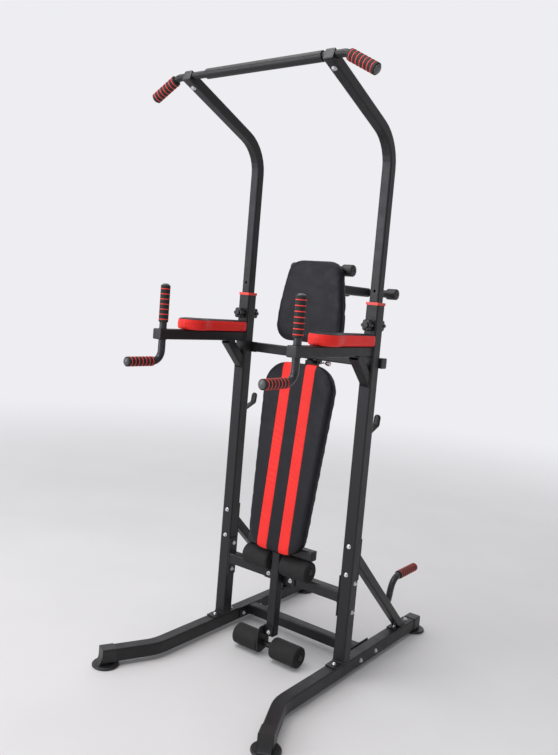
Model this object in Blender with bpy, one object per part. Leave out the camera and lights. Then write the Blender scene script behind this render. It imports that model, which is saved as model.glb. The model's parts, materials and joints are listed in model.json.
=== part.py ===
"""Power tower with dip arms, backrest, folding bench and leg rollers.

Metres, +Z up, -Y to the front (dip arms), +X to the right. The origin is on the floor, midway
between the two uprights. Every sub-part is one closed solid in its own named object.
"""
import math

import bmesh
import bpy
from mathutils import Matrix, Vector

# ---- driving dimensions -----------------------------------------------------------------------
GAP = 0.0003                # clearance between faces that touch
MAIN_TUBE = 0.050           # base tubes and lower uprights
CROSS_TUBE = 0.044          # lower and middle cross tubes
SLIM_TUBE = 0.038           # upper uprights, dip arms, backrest frame, bench rail
BRACE_TUBE = 0.036
WALL = 0.002
PLATE = 0.004               # flange plates
CORNER = 0.005              # outside corner radius of the square tubes
UPRIGHT_X = 0.300           # half the distance between the uprights

FOOT_HEIGHT = 0.018         # the base tubes' clearance over the floor
BASE_TOP = FOOT_HEIGHT + MAIN_TUBE
BASE_REAR_Y = 0.616
BASE_BEND_Y = -0.390        # where the base tubes turn outward
BASE_BEND_DEG = 25.2
BASE_TOE = 0.212            # length of the splayed toe
FOOT_RADIUS = 0.0507
FOOT_INSET = {"rear": 0.004, "front": 0.0165}   # disc centre behind the tube's end
FOOT_FLARE = {"rear": 0.030, "front": 0.022}    # how far the cap's end face spreads over the disc
FLARE_HEIGHT = 0.047
DISC_HEIGHT = 0.010
FOOT_SLEEVE = 0.048         # how far a foot cap reaches over its tube
CAP_WALL = 0.0022

UPRIGHT_TOP = 1.423
KNOB_Z = 1.350
PIN_RADIUS = 0.005
HOLE_PITCH = 0.062
HOLE_STEPS = (-1, 0, 1, 2)
COLLAR_WIDTH = 0.0545
COLLAR_HEIGHT = 0.010
COLLAR_SLEEVE = 0.055

NECK_FOOT_Z = 0.973         # lower end of the telescoping upper tubes
NECK_BEND_Z = 1.909
NECK_RADIUS = 0.140
NECK_RISE_DEG = 21.3        # the forward arm's climb
BAR_Y = -0.420
BAR_Z = 2.174
BAR_RADIUS = 0.0125
BAR_SLEEVE_RADIUS = 0.0175
BAR_SLEEVE = (-0.217, 0.270)    # the thick middle's left and right ends
BAR_BEND_X = 0.355
BAR_DROP_DEG = 29.0
BAR_END = 0.130             # length of each drooping bar end
BAR_GRIP_RADIUS = 0.0195
BLOCK_BACK = 0.0165         # the end blocks' reach behind and before the bar
BLOCK_FRONT = 0.0150

ARM_Z = 1.256
ARM_FRONT_Y = -0.496
HANDLE_Y = -0.470
HANDLE_RADIUS = 0.0135
HANDLE_TOP_Z = 1.434
HANDLE_LOW_Z = 1.157
HANDLE_BEND = 0.040
HANDLE_FRONT_Y = -0.6355
GRIP_RADIUS = 0.018
ARM_PAD_THICKNESS = 0.043

MID_Z = 0.3205
MID_Y = -0.003
LOWER_Z = 0.048
LOWER_Y = 0.165
DIP_TUBE_Z = 1.213
DIP_TUBE_HALF = 0.331

BRACE_TOP = (0.037, 0.4625)     # (y, z) on the brace's centre line
BRACE_FOOT = (0.465, BASE_TOP)
PUSHUP_ROUTE = ((0.334, 0.190), (0.368, 0.304), (0.562, 0.304))

BACKREST_FRONT_Y = 0.004     # at the pad's lower edge
BACKREST_LEAN = 0.055       # rise of y per metre of height
BACKREST_PAD = (1.258, 1.577)   # lowest and highest z
BACKREST_BOARD = (1.290, 1.530)
BACKREST_BOARD_HALF = 0.080
BACKREST_THICKNESS = 0.039
BACKREST_POST_Y = 0.0830
BACKREST_POST = (1.1915, 1.568)     # lowest and highest z
BACKREST_ARM_Z = 1.478
BACKREST_ARM_END_Y = 0.433
CROSSBAR_RADIUS = 0.016
CROSSBAR_HALF = 0.144
BUMPER_RADIUS = 0.023
BUMPER_LENGTH = 0.047
CROSSBARS = {"upper": (BACKREST_POST_Y, 1.548), "rear": (0.450, 1.478)}

LEG_POST_Y = -0.049
LEG_POST = (0.088, 0.428)
HINGE_HEAD = (-0.034, 0.447)    # (y, z) of the leg post's head tube
HINGE_HEAD_HALF = 0.153
ROLLER_RADIUS = 0.042
AXLE_RADIUS = 0.006
AXLE_HALF = 0.153
ROLLER_INNER_X = 0.029
ROLLER_OUTER_X = 0.156
UPPER_AXLE = (-0.047, 0.384)
LOWER_AXLE = (-0.068, 0.049)

BENCH_AXIS = Vector((0.0, -0.036, 0.484))
BENCH_LEAN_DEG = 6.2
BOARD_FACE = -0.0572        # bench frame: y of the board's upholstered face
BOARD_THICKNESS = 0.040
BOARD_ENDS = (-0.0557, 0.691)
LEG_PIVOT = Vector((0.0, 0.0378, 0.600))
LEG_TUBE = 0.032
LEG_PIN_RADIUS = 0.004
LEG_FOOT_HALF = 0.085

LATCH_Z = 1.181


# ---- materials --------------------------------------------------------------------------------
def make_material(name, colour, roughness, metallic=0.0):
    material = bpy.data.materials.new(name)
    material.use_nodes = True
    shader = material.node_tree.nodes["Principled BSDF"]
    shader.inputs["Base Color"].default_value = (*colour, 1.0)
    shader.inputs["Roughness"].default_value = roughness
    shader.inputs["Metallic"].default_value = metallic
    return material


# ---- mesh helpers -----------------------------------------------------------------------------
def clear_scene():
    for item in list(bpy.data.objects):
        bpy.data.objects.remove(item, do_unlink=True)


def add_object(name, mesh_data, material, origin=(0.0, 0.0, 0.0), sharp_deg=35.0):
    """Make an object of a bmesh, with its origin at a point given in world coordinates."""
    origin = Vector(origin)
    bmesh.ops.recalc_face_normals(mesh_data, faces=mesh_data.faces)
    bmesh.ops.translate(mesh_data, verts=mesh_data.verts, vec=-origin)
    mesh = bpy.data.meshes.new(name)
    mesh_data.to_mesh(mesh)
    mesh_data.free()
    mesh.materials.append(material)
    mesh.shade_smooth()
    mesh.set_sharp_from_angle(angle=math.radians(sharp_deg))
    item = bpy.data.objects.new(name, mesh)
    item.location = origin
    bpy.context.scene.collection.objects.link(item)
    return item


def mirror_to_left(item):
    """Copy a right-hand object to the left side as NAME_left."""
    mesh_data = bmesh.new()
    mesh_data.from_mesh(item.data)
    bmesh.ops.scale(mesh_data, vec=(-1.0, 1.0, 1.0), verts=mesh_data.verts)
    mesh = bpy.data.meshes.new(item.name.replace("_right", "_left"))
    bmesh.ops.reverse_faces(mesh_data, faces=mesh_data.faces)
    mesh_data.to_mesh(mesh)
    mesh_data.free()
    mesh.materials.append(item.data.materials[0])
    copy = bpy.data.objects.new(mesh.name, mesh)
    copy.location = (-item.location.x, item.location.y, item.location.z)
    bpy.context.scene.collection.objects.link(copy)
    return copy


def boolean(target, tool, operation):
    """Apply one exact Boolean to the target and remove the tool."""
    material = target.data.materials[0]
    modifier = target.modifiers.new("shape", "BOOLEAN")
    modifier.operation = operation
    modifier.solver = "EXACT"
    modifier.object = tool
    bpy.context.view_layer.update()
    graph = bpy.context.evaluated_depsgraph_get()
    mesh = bpy.data.meshes.new_from_object(target.evaluated_get(graph))
    target.modifiers.clear()
    target.data = mesh
    mesh.materials.clear()
    mesh.materials.append(material)
    bpy.data.objects.remove(tool, do_unlink=True)
    return target


def join(target, *tools):
    for tool in tools:
        boolean(target, tool, "UNION")
    return target


def cut(target, *tools):
    for tool in tools:
        boolean(target, tool, "DIFFERENCE")
    return target


def square_section(width, depth=None, radius=CORNER, steps=2):
    """Points of a rectangle with rounded corners, centred on the origin."""
    depth = width if depth is None else depth
    points = []
    corners = ((1, 1, 0), (-1, 1, 90), (-1, -1, 180), (1, -1, 270))
    for sign_x, sign_y, start in corners:
        centre_x = sign_x * (width / 2 - radius)
        centre_y = sign_y * (depth / 2 - radius)
        for step in range(steps + 1):
            angle = math.radians(start + 90 * step / steps)
            points.append((centre_x + radius * math.cos(angle), centre_y + radius * math.sin(angle)))
    return points


def round_section(radius, steps=16):
    turn = 2 * math.pi / steps
    return [(radius * math.cos(turn * step), radius * math.sin(turn * step)) for step in range(steps)]


def rounded_route(corners, radius=0.0, step_deg=11.0):
    """Stations (point, direction) along straight runs joined by arcs."""
    corners = [Vector(corner) for corner in corners]
    stations = [(corners[0], (corners[1] - corners[0]).normalized())]
    for before, corner, after in zip(corners, corners[1:], corners[2:]):
        arrive = (corner - before).normalized()
        leave = (after - corner).normalized()
        turn = arrive.angle(leave)
        reach = radius * math.tan(turn / 2)
        start = corner - arrive * reach
        inward = (leave - arrive * arrive.dot(leave)).normalized()
        centre = start + inward * radius
        count = max(2, math.ceil(math.degrees(turn) / step_deg))
        for step in range(count + 1):
            angle = turn * step / count
            point = centre - inward * radius * math.cos(angle) + arrive * radius * math.sin(angle)
            direction = arrive * math.cos(angle) + inward * math.sin(angle)
            stations.append((point, direction))
    stations.append((corners[-1], (corners[-1] - corners[-2]).normalized()))
    return stations


def section_ring(mesh_data, section, point, direction, side):
    up = direction.cross(side).normalized()
    return [mesh_data.verts.new(point + side * across + up * along) for across, along in section]


def skin(mesh_data, rings):
    for ring, following in zip(rings, rings[1:]):
        for index in range(len(ring)):
            after = (index + 1) % len(ring)
            mesh_data.faces.new((ring[index], ring[after], following[after], following[index]))


def sweep(name, section, stations, side, material, bore=None, origin=(0.0, 0.0, 0.0), sharp_deg=35.0):
    """Carry a section along a planar route; a bore of as many points makes it a hollow tube."""
    mesh_data = bmesh.new()
    side = Vector(side)
    outer = [section_ring(mesh_data, section, point, way, side) for point, way in stations]
    skin(mesh_data, outer)
    if bore is None:
        mesh_data.faces.new(outer[0])
        mesh_data.faces.new(outer[-1])
    else:
        inner = [section_ring(mesh_data, bore, point, way, side) for point, way in stations]
        skin(mesh_data, inner)
        skin(mesh_data, (outer[0], inner[0]))
        skin(mesh_data, (outer[-1], inner[-1]))
    return add_object(name, mesh_data, material, origin, sharp_deg)


def straight(start, end):
    start = Vector(start)
    end = Vector(end)
    way = (end - start).normalized()
    return [(start, way), (end, way)]


def square_tube(name, size, stations, side, material, wall=WALL, **options):
    outer = square_section(size)
    bore = square_section(size - 2 * wall, radius=CORNER - wall / 2)
    return sweep(name, outer, stations, side, material, bore=bore, **options)


def round_tube(name, radius, stations, side, material, wall=WALL, steps=14, **options):
    outer = round_section(radius, steps)
    bore = round_section(radius - wall, steps)
    return sweep(name, outer, stations, side, material, bore=bore, **options)


def box(name, low, high, material):
    mesh_data = bmesh.new()
    low = Vector(low)
    high = Vector(high)
    bmesh.ops.create_cube(mesh_data, size=1.0)
    bmesh.ops.scale(mesh_data, vec=high - low, verts=mesh_data.verts)
    bmesh.ops.translate(mesh_data, vec=(low + high) / 2, verts=mesh_data.verts)
    return add_object(name, mesh_data, material)


def rod(name, radius, start, end, material, steps=14, **options):
    """A solid round bar along X, Y or Z."""
    stations = straight(start, end)
    way = stations[0][1]
    side = Vector((0, 0, 1)) if abs(way.z) < 0.9 else Vector((1, 0, 0))
    return sweep(name, round_section(radius, steps), stations, side, material, **options)


def turned(name, profile, centre, axis, material, steps=14, origin=None):
    """Turn a closed profile of (distance along the axis, radius) points about the axis."""
    mesh_data = bmesh.new()
    centre = Vector(centre)
    axis = Vector(axis).normalized()
    side = axis.orthogonal().normalized()
    up = axis.cross(side)
    rings = []
    for step in range(steps):
        angle = 2 * math.pi * step / steps
        radial = side * math.cos(angle) + up * math.sin(angle)
        rings.append([mesh_data.verts.new(centre + axis * along + radial * radius)
                      for along, radius in profile])
    skin(mesh_data, rings + rings[:1])
    return add_object(name, mesh_data, material, centre if origin is None else origin)


def clear_bore(radius, steps=14):
    """Radius of a faceted bore whose flats still clear a round bar."""
    return (radius + GAP) / math.cos(math.pi / steps)


def outline_slab(name, outline, place, depth, material):
    """Close an outline and extrude it by the vector depth; place maps its points to the world."""
    mesh_data = bmesh.new()
    depth = Vector(depth)
    near = [mesh_data.verts.new(place(across, along)) for across, along in outline]
    far = [mesh_data.verts.new(vert.co + depth) for vert in near]
    mesh_data.faces.new(near)
    mesh_data.faces.new(far)
    skin(mesh_data, (near, far))
    return add_object(name, mesh_data, material)


def corner_arcs(corners, steps=6):
    """Outline of a board: arcs (x, y, radius, start angle, end angle) joined by straight edges."""
    points = []
    for centre_x, centre_y, radius, start, end in corners:
        for step in range(steps + 1):
            angle = math.radians(start + (end - start) * step / steps)
            points.append((centre_x + radius * math.cos(angle), centre_y + radius * math.sin(angle)))
    return points


def mirrored(right):
    """Close an outline that is symmetric about x = 0 from its right half, bottom to top."""
    return right + [(-x, y) for x, y in reversed(right)]


def in_bench_frame(point):
    """World position of a point given along the leaning bench, from its hinge axis."""
    lean = Matrix.Rotation(-math.radians(BENCH_LEAN_DEG), 3, "X")
    return BENCH_AXIS + lean @ Vector(point)


def bench_box(name, low, high, material):
    mesh_data = bmesh.new()
    low = Vector(low)
    high = Vector(high)
    bmesh.ops.create_cube(mesh_data, size=1.0)
    bmesh.ops.scale(mesh_data, vec=high - low, verts=mesh_data.verts)
    bmesh.ops.translate(mesh_data, vec=(low + high) / 2, verts=mesh_data.verts)
    for vert in mesh_data.verts:
        vert.co = in_bench_frame(vert.co)
    return add_object(name, mesh_data, material)


# ---- base -------------------------------------------------------------------------------------
def toe_direction():
    angle = math.radians(BASE_BEND_DEG)
    return Vector((math.sin(angle), -math.cos(angle), 0.0))


def make_base_tube(steel):
    height = FOOT_HEIGHT + MAIN_TUBE / 2
    bend = Vector((UPRIGHT_X, BASE_BEND_Y, height))
    route = ((UPRIGHT_X, BASE_REAR_Y, height), bend, bend + toe_direction() * BASE_TOE)
    stations = rounded_route(route, radius=0.16, step_deg=9.0)
    tube = square_tube("base_tube_right", MAIN_TUBE, stations, (0, 0, 1), steel)
    mirror_to_left(tube)


def make_flare(front, outward, reach, width, plastic):
    """The hollow curve that runs from a foot cap's end face out over its disc."""
    side = outward.cross(Vector((0, 0, 1)))
    profile = [(-2 * CAP_WALL, FLARE_HEIGHT)]
    steps = 5
    for step in range(steps + 1):
        angle = math.pi / 2 * step / steps
        height = DISC_HEIGHT / 2 + (FLARE_HEIGHT - DISC_HEIGHT / 2) * (1 - math.sin(angle))
        profile.append((reach * (1 - math.cos(angle)), height + GAP))
    profile += [(reach, DISC_HEIGHT / 3), (-2 * CAP_WALL, DISC_HEIGHT / 3)]
    base = Vector((front.x, front.y, 0.0)) - side * width / 2
    return outline_slab("flare", profile, lambda x, z: base + outward * x + Vector((0, 0, z)),
                        side * width, plastic)


def make_foot_cap(place, end, outward, plastic):
    """A sleeve over a base tube's end, standing on a flat disc."""
    sleeve_size = MAIN_TUBE + 2 * CAP_WALL
    back = end - outward * FOOT_SLEEVE
    front = end + outward * 2 * CAP_WALL
    name = f"foot_cap_{place}_right"
    cap = sweep(name, square_section(sleeve_size), straight(back, front), (0, 0, 1), plastic)
    centre = end - outward * FOOT_INSET[place]
    centre.z = 0.0
    bevel = 0.003
    neck = 0.024
    disc = ((0.0, FOOT_RADIUS - bevel), (bevel, FOOT_RADIUS), (DISC_HEIGHT - bevel, FOOT_RADIUS),
            (DISC_HEIGHT, FOOT_RADIUS - bevel), (DISC_HEIGHT, neck), (FOOT_HEIGHT + 0.012, neck))
    mesh_data = bmesh.new()
    rings = [[mesh_data.verts.new(centre + Vector((radius * x, radius * y, height)))
              for x, y in round_section(1.0, 24)] for height, radius in disc]
    skin(mesh_data, rings)
    mesh_data.faces.new(rings[0])
    mesh_data.faces.new(rings[-1])
    join(cap, add_object("foot_disc", mesh_data, plastic))
    join(cap, make_flare(front, outward, FOOT_FLARE[place], sleeve_size - 2 * CORNER, plastic))
    pocket = square_section(MAIN_TUBE + 2 * GAP)
    cut(cap, sweep("pocket", pocket, straight(back - outward * 0.05, end + outward * GAP), (0, 0, 1),
                   plastic))
    return cap


def make_foot_caps(plastic):
    height = FOOT_HEIGHT + MAIN_TUBE / 2
    rear = Vector((UPRIGHT_X, BASE_REAR_Y, height))
    toe = Vector((UPRIGHT_X, BASE_BEND_Y, height)) + toe_direction() * BASE_TOE
    mirror_to_left(make_foot_cap("rear", rear, Vector((0, 1, 0)), plastic))
    mirror_to_left(make_foot_cap("front", toe, toe_direction(), plastic))


def make_cross_tube(name, centre, half, plate_low, plate_high, steel):
    """A tube between two flange plates; its bore runs out through both plates."""
    y, z = centre
    tube = sweep(name, square_section(CROSS_TUBE), straight((-half, y, z), (half, y, z)), (0, 0, 1), steel)
    for side in (-1, 1):
        inner = side * (half - PLATE)
        outer = side * half
        low = (min(inner, outer), *plate_low)
        high = (max(inner, outer), *plate_high)
        join(tube, box("plate", low, high, steel))
    bore = square_section(CROSS_TUBE - 2 * WALL, radius=CORNER - WALL / 2)
    reach = half + 0.01
    return cut(tube, sweep("bore", bore, straight((-reach, y, z), (reach, y, z)), (0, 0, 1), steel))


def make_cross_tubes(steel):
    inner_face = UPRIGHT_X - MAIN_TUBE / 2 - GAP
    make_cross_tube("lower_cross_tube", (LOWER_Y, LOWER_Z), inner_face,
                    (LOWER_Y - 0.080, 0.024), (LOWER_Y + 0.080, 0.0715), steel)
    make_cross_tube("mid_cross_tube", (MID_Y, MID_Z), inner_face,
                    (-0.0245, 0.246), (0.0225, 0.404), steel)


# ---- uprights ---------------------------------------------------------------------------------
def make_lower_upright(steel):
    x = UPRIGHT_X
    floor = BASE_TOP + GAP
    tube = sweep("lower_upright_right", square_section(MAIN_TUBE),
                 straight((x, 0, floor), (x, 0, UPRIGHT_TOP)), (1, 0, 0), steel)
    join(tube, box("foot_plate", (x - 0.024, -0.076, floor), (x + 0.024, 0.076, floor + PLATE), steel))
    front = -MAIN_TUBE / 2
    join(tube, rod("ferrule", 0.0105, (x, front + 0.001, KNOB_Z), (x, front - 0.012, KNOB_Z), steel))
    join(tube, rod("nut", 0.0105, (x, -front - 0.001, KNOB_Z), (x, -front + 0.009, KNOB_Z), steel))
    bore = square_section(MAIN_TUBE - 2 * WALL, radius=CORNER - WALL / 2)
    cut(tube, sweep("bore", bore, straight((x, 0, floor - 0.01), (x, 0, UPRIGHT_TOP + 0.01)), (1, 0, 0),
                    steel))
    cut(tube, rod("pin_hole", PIN_RADIUS + 0.0005, (x, -0.06, KNOB_Z), (x, 0.06, KNOB_Z), steel))
    mirror_to_left(tube)


def make_collar(plastic):
    """Flanged bush between the two telescoping tubes."""
    x = UPRIGHT_X
    top = UPRIGHT_TOP + GAP + COLLAR_HEIGHT
    collar = sweep("height_collar_right", square_section(COLLAR_WIDTH),
                   straight((x, 0, UPRIGHT_TOP + GAP), (x, 0, top)), (1, 0, 0), plastic)
    sleeve = square_section(MAIN_TUBE - 2 * WALL - 2 * GAP, radius=CORNER - WALL / 2)
    join(collar, sweep("sleeve", sleeve, straight((x, 0, UPRIGHT_TOP - COLLAR_SLEEVE), (x, 0, top - 0.002)),
                       (1, 0, 0), plastic))
    passage = square_section(SLIM_TUBE + 2 * GAP)
    cut(collar, sweep("passage", passage, straight((x, 0, 1.30), (x, 0, 1.50)), (1, 0, 0), plastic))
    mirror_to_left(collar)


def star_outline(radius, lobes=6, depth=0.14, steps=36):
    points = []
    for step in range(steps):
        angle = 2 * math.pi * step / steps
        reach = radius * (1 - depth / 2 + depth / 2 * math.cos(lobes * angle))
        points.append((reach * math.cos(angle), reach * math.sin(angle)))
    return points


def make_knob(name, facing, base_y, tip_y, plastic):
    """A star knob on a shank along Y; facing is -1 to the front and +1 to the back."""
    x = UPRIGHT_X
    start = Vector((x, base_y, KNOB_Z))
    end = start + Vector((0, facing * 0.020, 0))
    side = Vector((1, 0, 0))
    knob = sweep(name, star_outline(0.0225), straight(start, end), side, plastic, sharp_deg=50)
    join(knob, rod("hub", 0.0135, end - Vector((0, facing * 0.002, 0)),
                   end + Vector((0, facing * 0.007, 0)), plastic))
    join(knob, rod("shank", PIN_RADIUS, (x, tip_y, KNOB_Z), start + Vector((0, facing * 0.004, 0)),
                   plastic))
    knob.data.transform(Matrix.Translation(-start))
    knob.location = start
    mirror_to_left(knob)


def make_knobs(plastic):
    upper_face = SLIM_TUBE / 2 + 0.0006
    make_knob("pull_pin_right", -1, -MAIN_TUBE / 2 - 0.0135, -upper_face, plastic)
    make_knob("clamp_knob_right", 1, MAIN_TUBE / 2 + 0.0105, upper_face, plastic)


# ---- sliding top ------------------------------------------------------------------------------
def neck_direction():
    angle = math.radians(NECK_RISE_DEG)
    return Vector((0.0, -math.cos(angle), math.sin(angle)))


def neck_corner():
    """Where the right upright's and its forward arm's centre lines meet."""
    turn = math.radians(90 - NECK_RISE_DEG)
    return Vector((UPRIGHT_X, 0, NECK_BEND_Z + NECK_RADIUS * math.tan(turn / 2)))


def neck_run():
    """Length along the forward arm from that corner to the pull-up bar."""
    return (Vector((UPRIGHT_X, BAR_Y, BAR_Z)) - neck_corner()).dot(neck_direction())


def make_upper_upright(steel):
    corner = neck_corner()
    end = corner + neck_direction() * (neck_run() - BLOCK_BACK - GAP)
    route = ((UPRIGHT_X, 0, NECK_FOOT_Z), corner, end)
    stations = rounded_route(route, radius=NECK_RADIUS, step_deg=10.0)
    tube = square_tube("upper_upright_right", SLIM_TUBE, stations, (1, 0, 0), steel)
    hole = 0.0055
    for step in HOLE_STEPS:
        z = KNOB_Z + HOLE_PITCH * step
        cut(tube, rod("height_hole", hole, (UPRIGHT_X, -0.03, z), (UPRIGHT_X, 0.0, z), steel, steps=8))
    mirror_to_left(tube)


def make_pull_up_bar(steel):
    """One bar with drooping ends, a thick middle sleeve and the two blocks on the goosenecks."""
    drop = math.radians(BAR_DROP_DEG)
    reach = Vector((math.cos(drop), 0, -math.sin(drop))) * BAR_END
    right = Vector((BAR_BEND_X, BAR_Y, BAR_Z))
    left = Vector((-BAR_BEND_X, BAR_Y, BAR_Z))
    route = (left + Vector((-reach.x, 0, reach.z)), left, right, right + reach)
    stations = rounded_route(route, radius=0.045, step_deg=11.0)
    bar = sweep("pull_up_bar", round_section(BAR_RADIUS), stations, (0, 1, 0), steel)
    sleeve = [(x, BAR_Y, BAR_Z) for x in BAR_SLEEVE]
    join(bar, sweep("thick_sleeve", round_section(BAR_SLEEVE_RADIUS, 16), straight(*sleeve), (0, 1, 0),
                    steel))
    way = neck_direction()
    for side in (-1, 1):
        centre = neck_corner() + way * neck_run()
        centre.x *= side
        ends = straight(centre - way * BLOCK_BACK, centre + way * BLOCK_FRONT)
        join(bar, sweep("block", square_section(SLIM_TUBE), ends, (1, 0, 0), steel))
    bore = round_section(BAR_RADIUS - WALL)
    start, end = stations[0], stations[-1]
    longer = [(start[0] - start[1] * 0.01, start[1])] + stations[1:-1] + [(end[0] + end[1] * 0.01, end[1])]
    return cut(bar, sweep("bore", bore, longer, (0, 1, 0), steel))


def grip_profile(length, radius, inner):
    """A sleeve closed by a domed end at the far side."""
    return ((0.0, inner), (0.0, radius), (length - 0.005, radius), (length, radius - 0.006),
            (length, 0.0012), (length - 0.004, 0.0012), (length - 0.004, inner))


def make_pull_up_grip(rubber):
    drop = math.radians(BAR_DROP_DEG)
    way = Vector((math.cos(drop), 0, -math.sin(drop)))
    start = Vector((BAR_BEND_X, BAR_Y, BAR_Z)) + way * 0.0145
    length = BAR_END - 0.0145 + 0.0045
    profile = grip_profile(length, BAR_GRIP_RADIUS, clear_bore(BAR_RADIUS))
    mirror_to_left(turned("pull_up_grip_right", profile, start, way, rubber))


# ---- dip arms ---------------------------------------------------------------------------------
def make_dip_arm(steel):
    """Square arm with a diagonal gusset tube under it, both welded to the upright's front."""
    x = UPRIGHT_X
    face = -MAIN_TUBE / 2 - GAP
    arm = sweep("dip_arm_right", square_section(SLIM_TUBE),
                straight((x, face, ARM_Z), (x, ARM_FRONT_Y, ARM_Z)), (1, 0, 0), steel)
    gusset = straight((x, -0.110, ARM_Z - 0.017), (x, face + 0.03, ARM_Z - 0.017 - 0.110 - 0.03 - face))
    join(arm, sweep("gusset", square_section(SLIM_TUBE), gusset, (1, 0, 0), steel))
    bore = square_section(SLIM_TUBE - 2 * WALL, radius=CORNER - WALL / 2)
    under = ARM_Z - SLIM_TUBE / 2
    cut(arm, sweep("arm_bore", bore, straight((x, face + 0.01, ARM_Z), (x, ARM_FRONT_Y - 0.01, ARM_Z)),
                   (1, 0, 0), steel))
    hollow = sweep("gusset_bore", bore, gusset, (1, 0, 0), steel)
    cut(hollow, box("keep_arm", (x - 0.05, -0.3, under), (x + 0.05, 0.1, ARM_Z + 0.1), steel))
    cut(arm, hollow)
    cut(arm, box("upright_side", (x - 0.05, face, 1.0), (x + 0.05, face + 0.1, 1.4), steel))
    cut(arm, rod("handle_hole", HANDLE_RADIUS + GAP, (x, HANDLE_Y, ARM_Z - 0.03),
                 (x, HANDLE_Y, ARM_Z + 0.03),
                 steel, steps=14))
    mirror_to_left(arm)


def make_dip_handle(steel):
    x = UPRIGHT_X
    route = ((x, HANDLE_Y, HANDLE_TOP_Z), (x, HANDLE_Y, HANDLE_LOW_Z), (x, HANDLE_FRONT_Y, HANDLE_LOW_Z))
    stations = rounded_route(route, radius=HANDLE_BEND, step_deg=18.0)
    mirror_to_left(round_tube("dip_handle_right", HANDLE_RADIUS, stations, (1, 0, 0), steel))


def make_dip_grips(rubber):
    x = UPRIGHT_X
    inner = clear_bore(HANDLE_RADIUS)
    upper_start = 1.299
    profile = grip_profile(HANDLE_TOP_Z + 0.0045 - upper_start, GRIP_RADIUS, inner)
    mirror_to_left(turned("dip_grip_upper_right", profile, (x, HANDLE_Y, upper_start), (0, 0, 1), rubber))
    lower_start = HANDLE_Y - HANDLE_BEND - 0.001
    profile = grip_profile(lower_start - HANDLE_FRONT_Y + 0.0045, GRIP_RADIUS, inner)
    mirror_to_left(turned("dip_grip_lower_right", profile, (x, lower_start, HANDLE_LOW_Z), (0, -1, 0),
                          rubber))


def arm_pad_outline():
    """Rounded head at the front, a waist, then a narrow parallel tail."""
    head, tail = 0.056, 0.034
    head_y, waist_y, rear_y = -0.318, -0.232, -0.0285
    right = []
    for step in range(9):
        angle = math.radians(-90 + 90 * step / 8)
        right.append((head * math.cos(angle), head_y + 0.054 * math.sin(angle)))
    for step in range(1, 9):
        share = step / 8
        blend = (1 + math.cos(math.pi * share)) / 2
        right.append((tail + (head - tail) * blend, head_y + (waist_y - head_y) * share))
    right.append((tail, rear_y - 0.010))
    right.append((tail - 0.010, rear_y))
    return right + [(-x, y) for x, y in reversed(right[1:])]


def make_arm_pad(vinyl):
    base = ARM_Z + SLIM_TUBE / 2 + GAP
    pad = outline_slab("arm_pad_right", arm_pad_outline(), lambda x, y: Vector((UPRIGHT_X + x, y, base)),
                       (0, 0, ARM_PAD_THICKNESS), vinyl)
    mirror_to_left(pad)


# ---- backrest and its frame -------------------------------------------------------------------
def make_dip_cross_tube(steel):
    y = MAIN_TUBE / 2 + GAP + SLIM_TUBE / 2
    ends = straight((-DIP_TUBE_HALF, y, DIP_TUBE_Z), (DIP_TUBE_HALF, y, DIP_TUBE_Z))
    square_tube("dip_cross_tube", SLIM_TUBE, ends, (0, 0, 1), steel)


def backrest_front(z):
    """y of the backrest pad's front face, which leans back as it rises."""
    return BACKREST_FRONT_Y + (z - BACKREST_PAD[0]) * BACKREST_LEAN


def make_backrest_frame(steel):
    """Post behind the cross tube, pad board, rear arm and the cheek that carries the latch pin."""
    y = BACKREST_POST_Y
    low, high = BACKREST_POST
    half = SLIM_TUBE / 2
    frame = sweep("backrest_frame", square_section(SLIM_TUBE), straight((0, y, low), (0, y, high)),
                  (1, 0, 0), steel)
    arm_z = BACKREST_ARM_Z
    join(frame, sweep("arm", square_section(SLIM_TUBE),
                      straight((0, y, arm_z), (0, BACKREST_ARM_END_Y, arm_z)),
                      (1, 0, 0), steel))
    board = [(backrest_front(z) + BACKREST_THICKNESS + GAP, z) for z in BACKREST_BOARD]
    board += [(y - half + 0.001, z) for z in reversed(BACKREST_BOARD)]
    width = (2 * BACKREST_BOARD_HALF, 0, 0)
    join(frame, outline_slab("board", board, lambda y, z: Vector((-BACKREST_BOARD_HALF, y, z)), width,
                             steel))
    for side in (-1, 1):
        inner, outer = sorted((side * (half - 0.001), side * (half + 0.0065)))
        join(frame, box("latch_cheek", (inner, y - 0.0165, 1.174), (outer, y + 0.0165, 1.235), steel))
    bore = square_section(SLIM_TUBE - 2 * WALL, radius=CORNER - WALL / 2)
    cut(frame, sweep("post_bore", bore, straight((0, y, low - 0.01), (0, y, high + 0.01)), (1, 0, 0),
                     steel))
    cut(frame, sweep("arm_bore", bore, straight((0, y, arm_z), (0, BACKREST_ARM_END_Y + 0.01, arm_z)),
                     (1, 0, 0), steel))
    cut(frame, rod("latch_hole", 0.0045, (0.016, y, LATCH_Z), (0.05, y, LATCH_Z), steel))
    upper_y, upper_z = CROSSBARS["upper"]
    cut(frame, rod("crossbar_hole", CROSSBAR_RADIUS + GAP, (-0.05, upper_y, upper_z),
                   (0.05, upper_y, upper_z),
                   steel))


def make_crossbars(steel, rubber):
    for place, (y, z) in CROSSBARS.items():
        inset = 0.006
        half = CROSSBAR_HALF - inset
        round_tube(f"{place}_crossbar", CROSSBAR_RADIUS, straight((-half, y, z), (half, y, z)), (0, 0, 1),
                   steel)
        inner = clear_bore(CROSSBAR_RADIUS)
        radius = BUMPER_RADIUS
        length = BUMPER_LENGTH
        profile = ((0.0, inner), (0.0, radius), (length - 0.003, radius), (length, radius - 0.003),
                   (length, 0.003), (length - inset + GAP, 0.003), (length - inset + GAP, inner))
        start = (CROSSBAR_HALF - length, y, z)
        mirror_to_left(turned(f"{place}_bumper_right", profile, start, (1, 0, 0), rubber))


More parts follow.
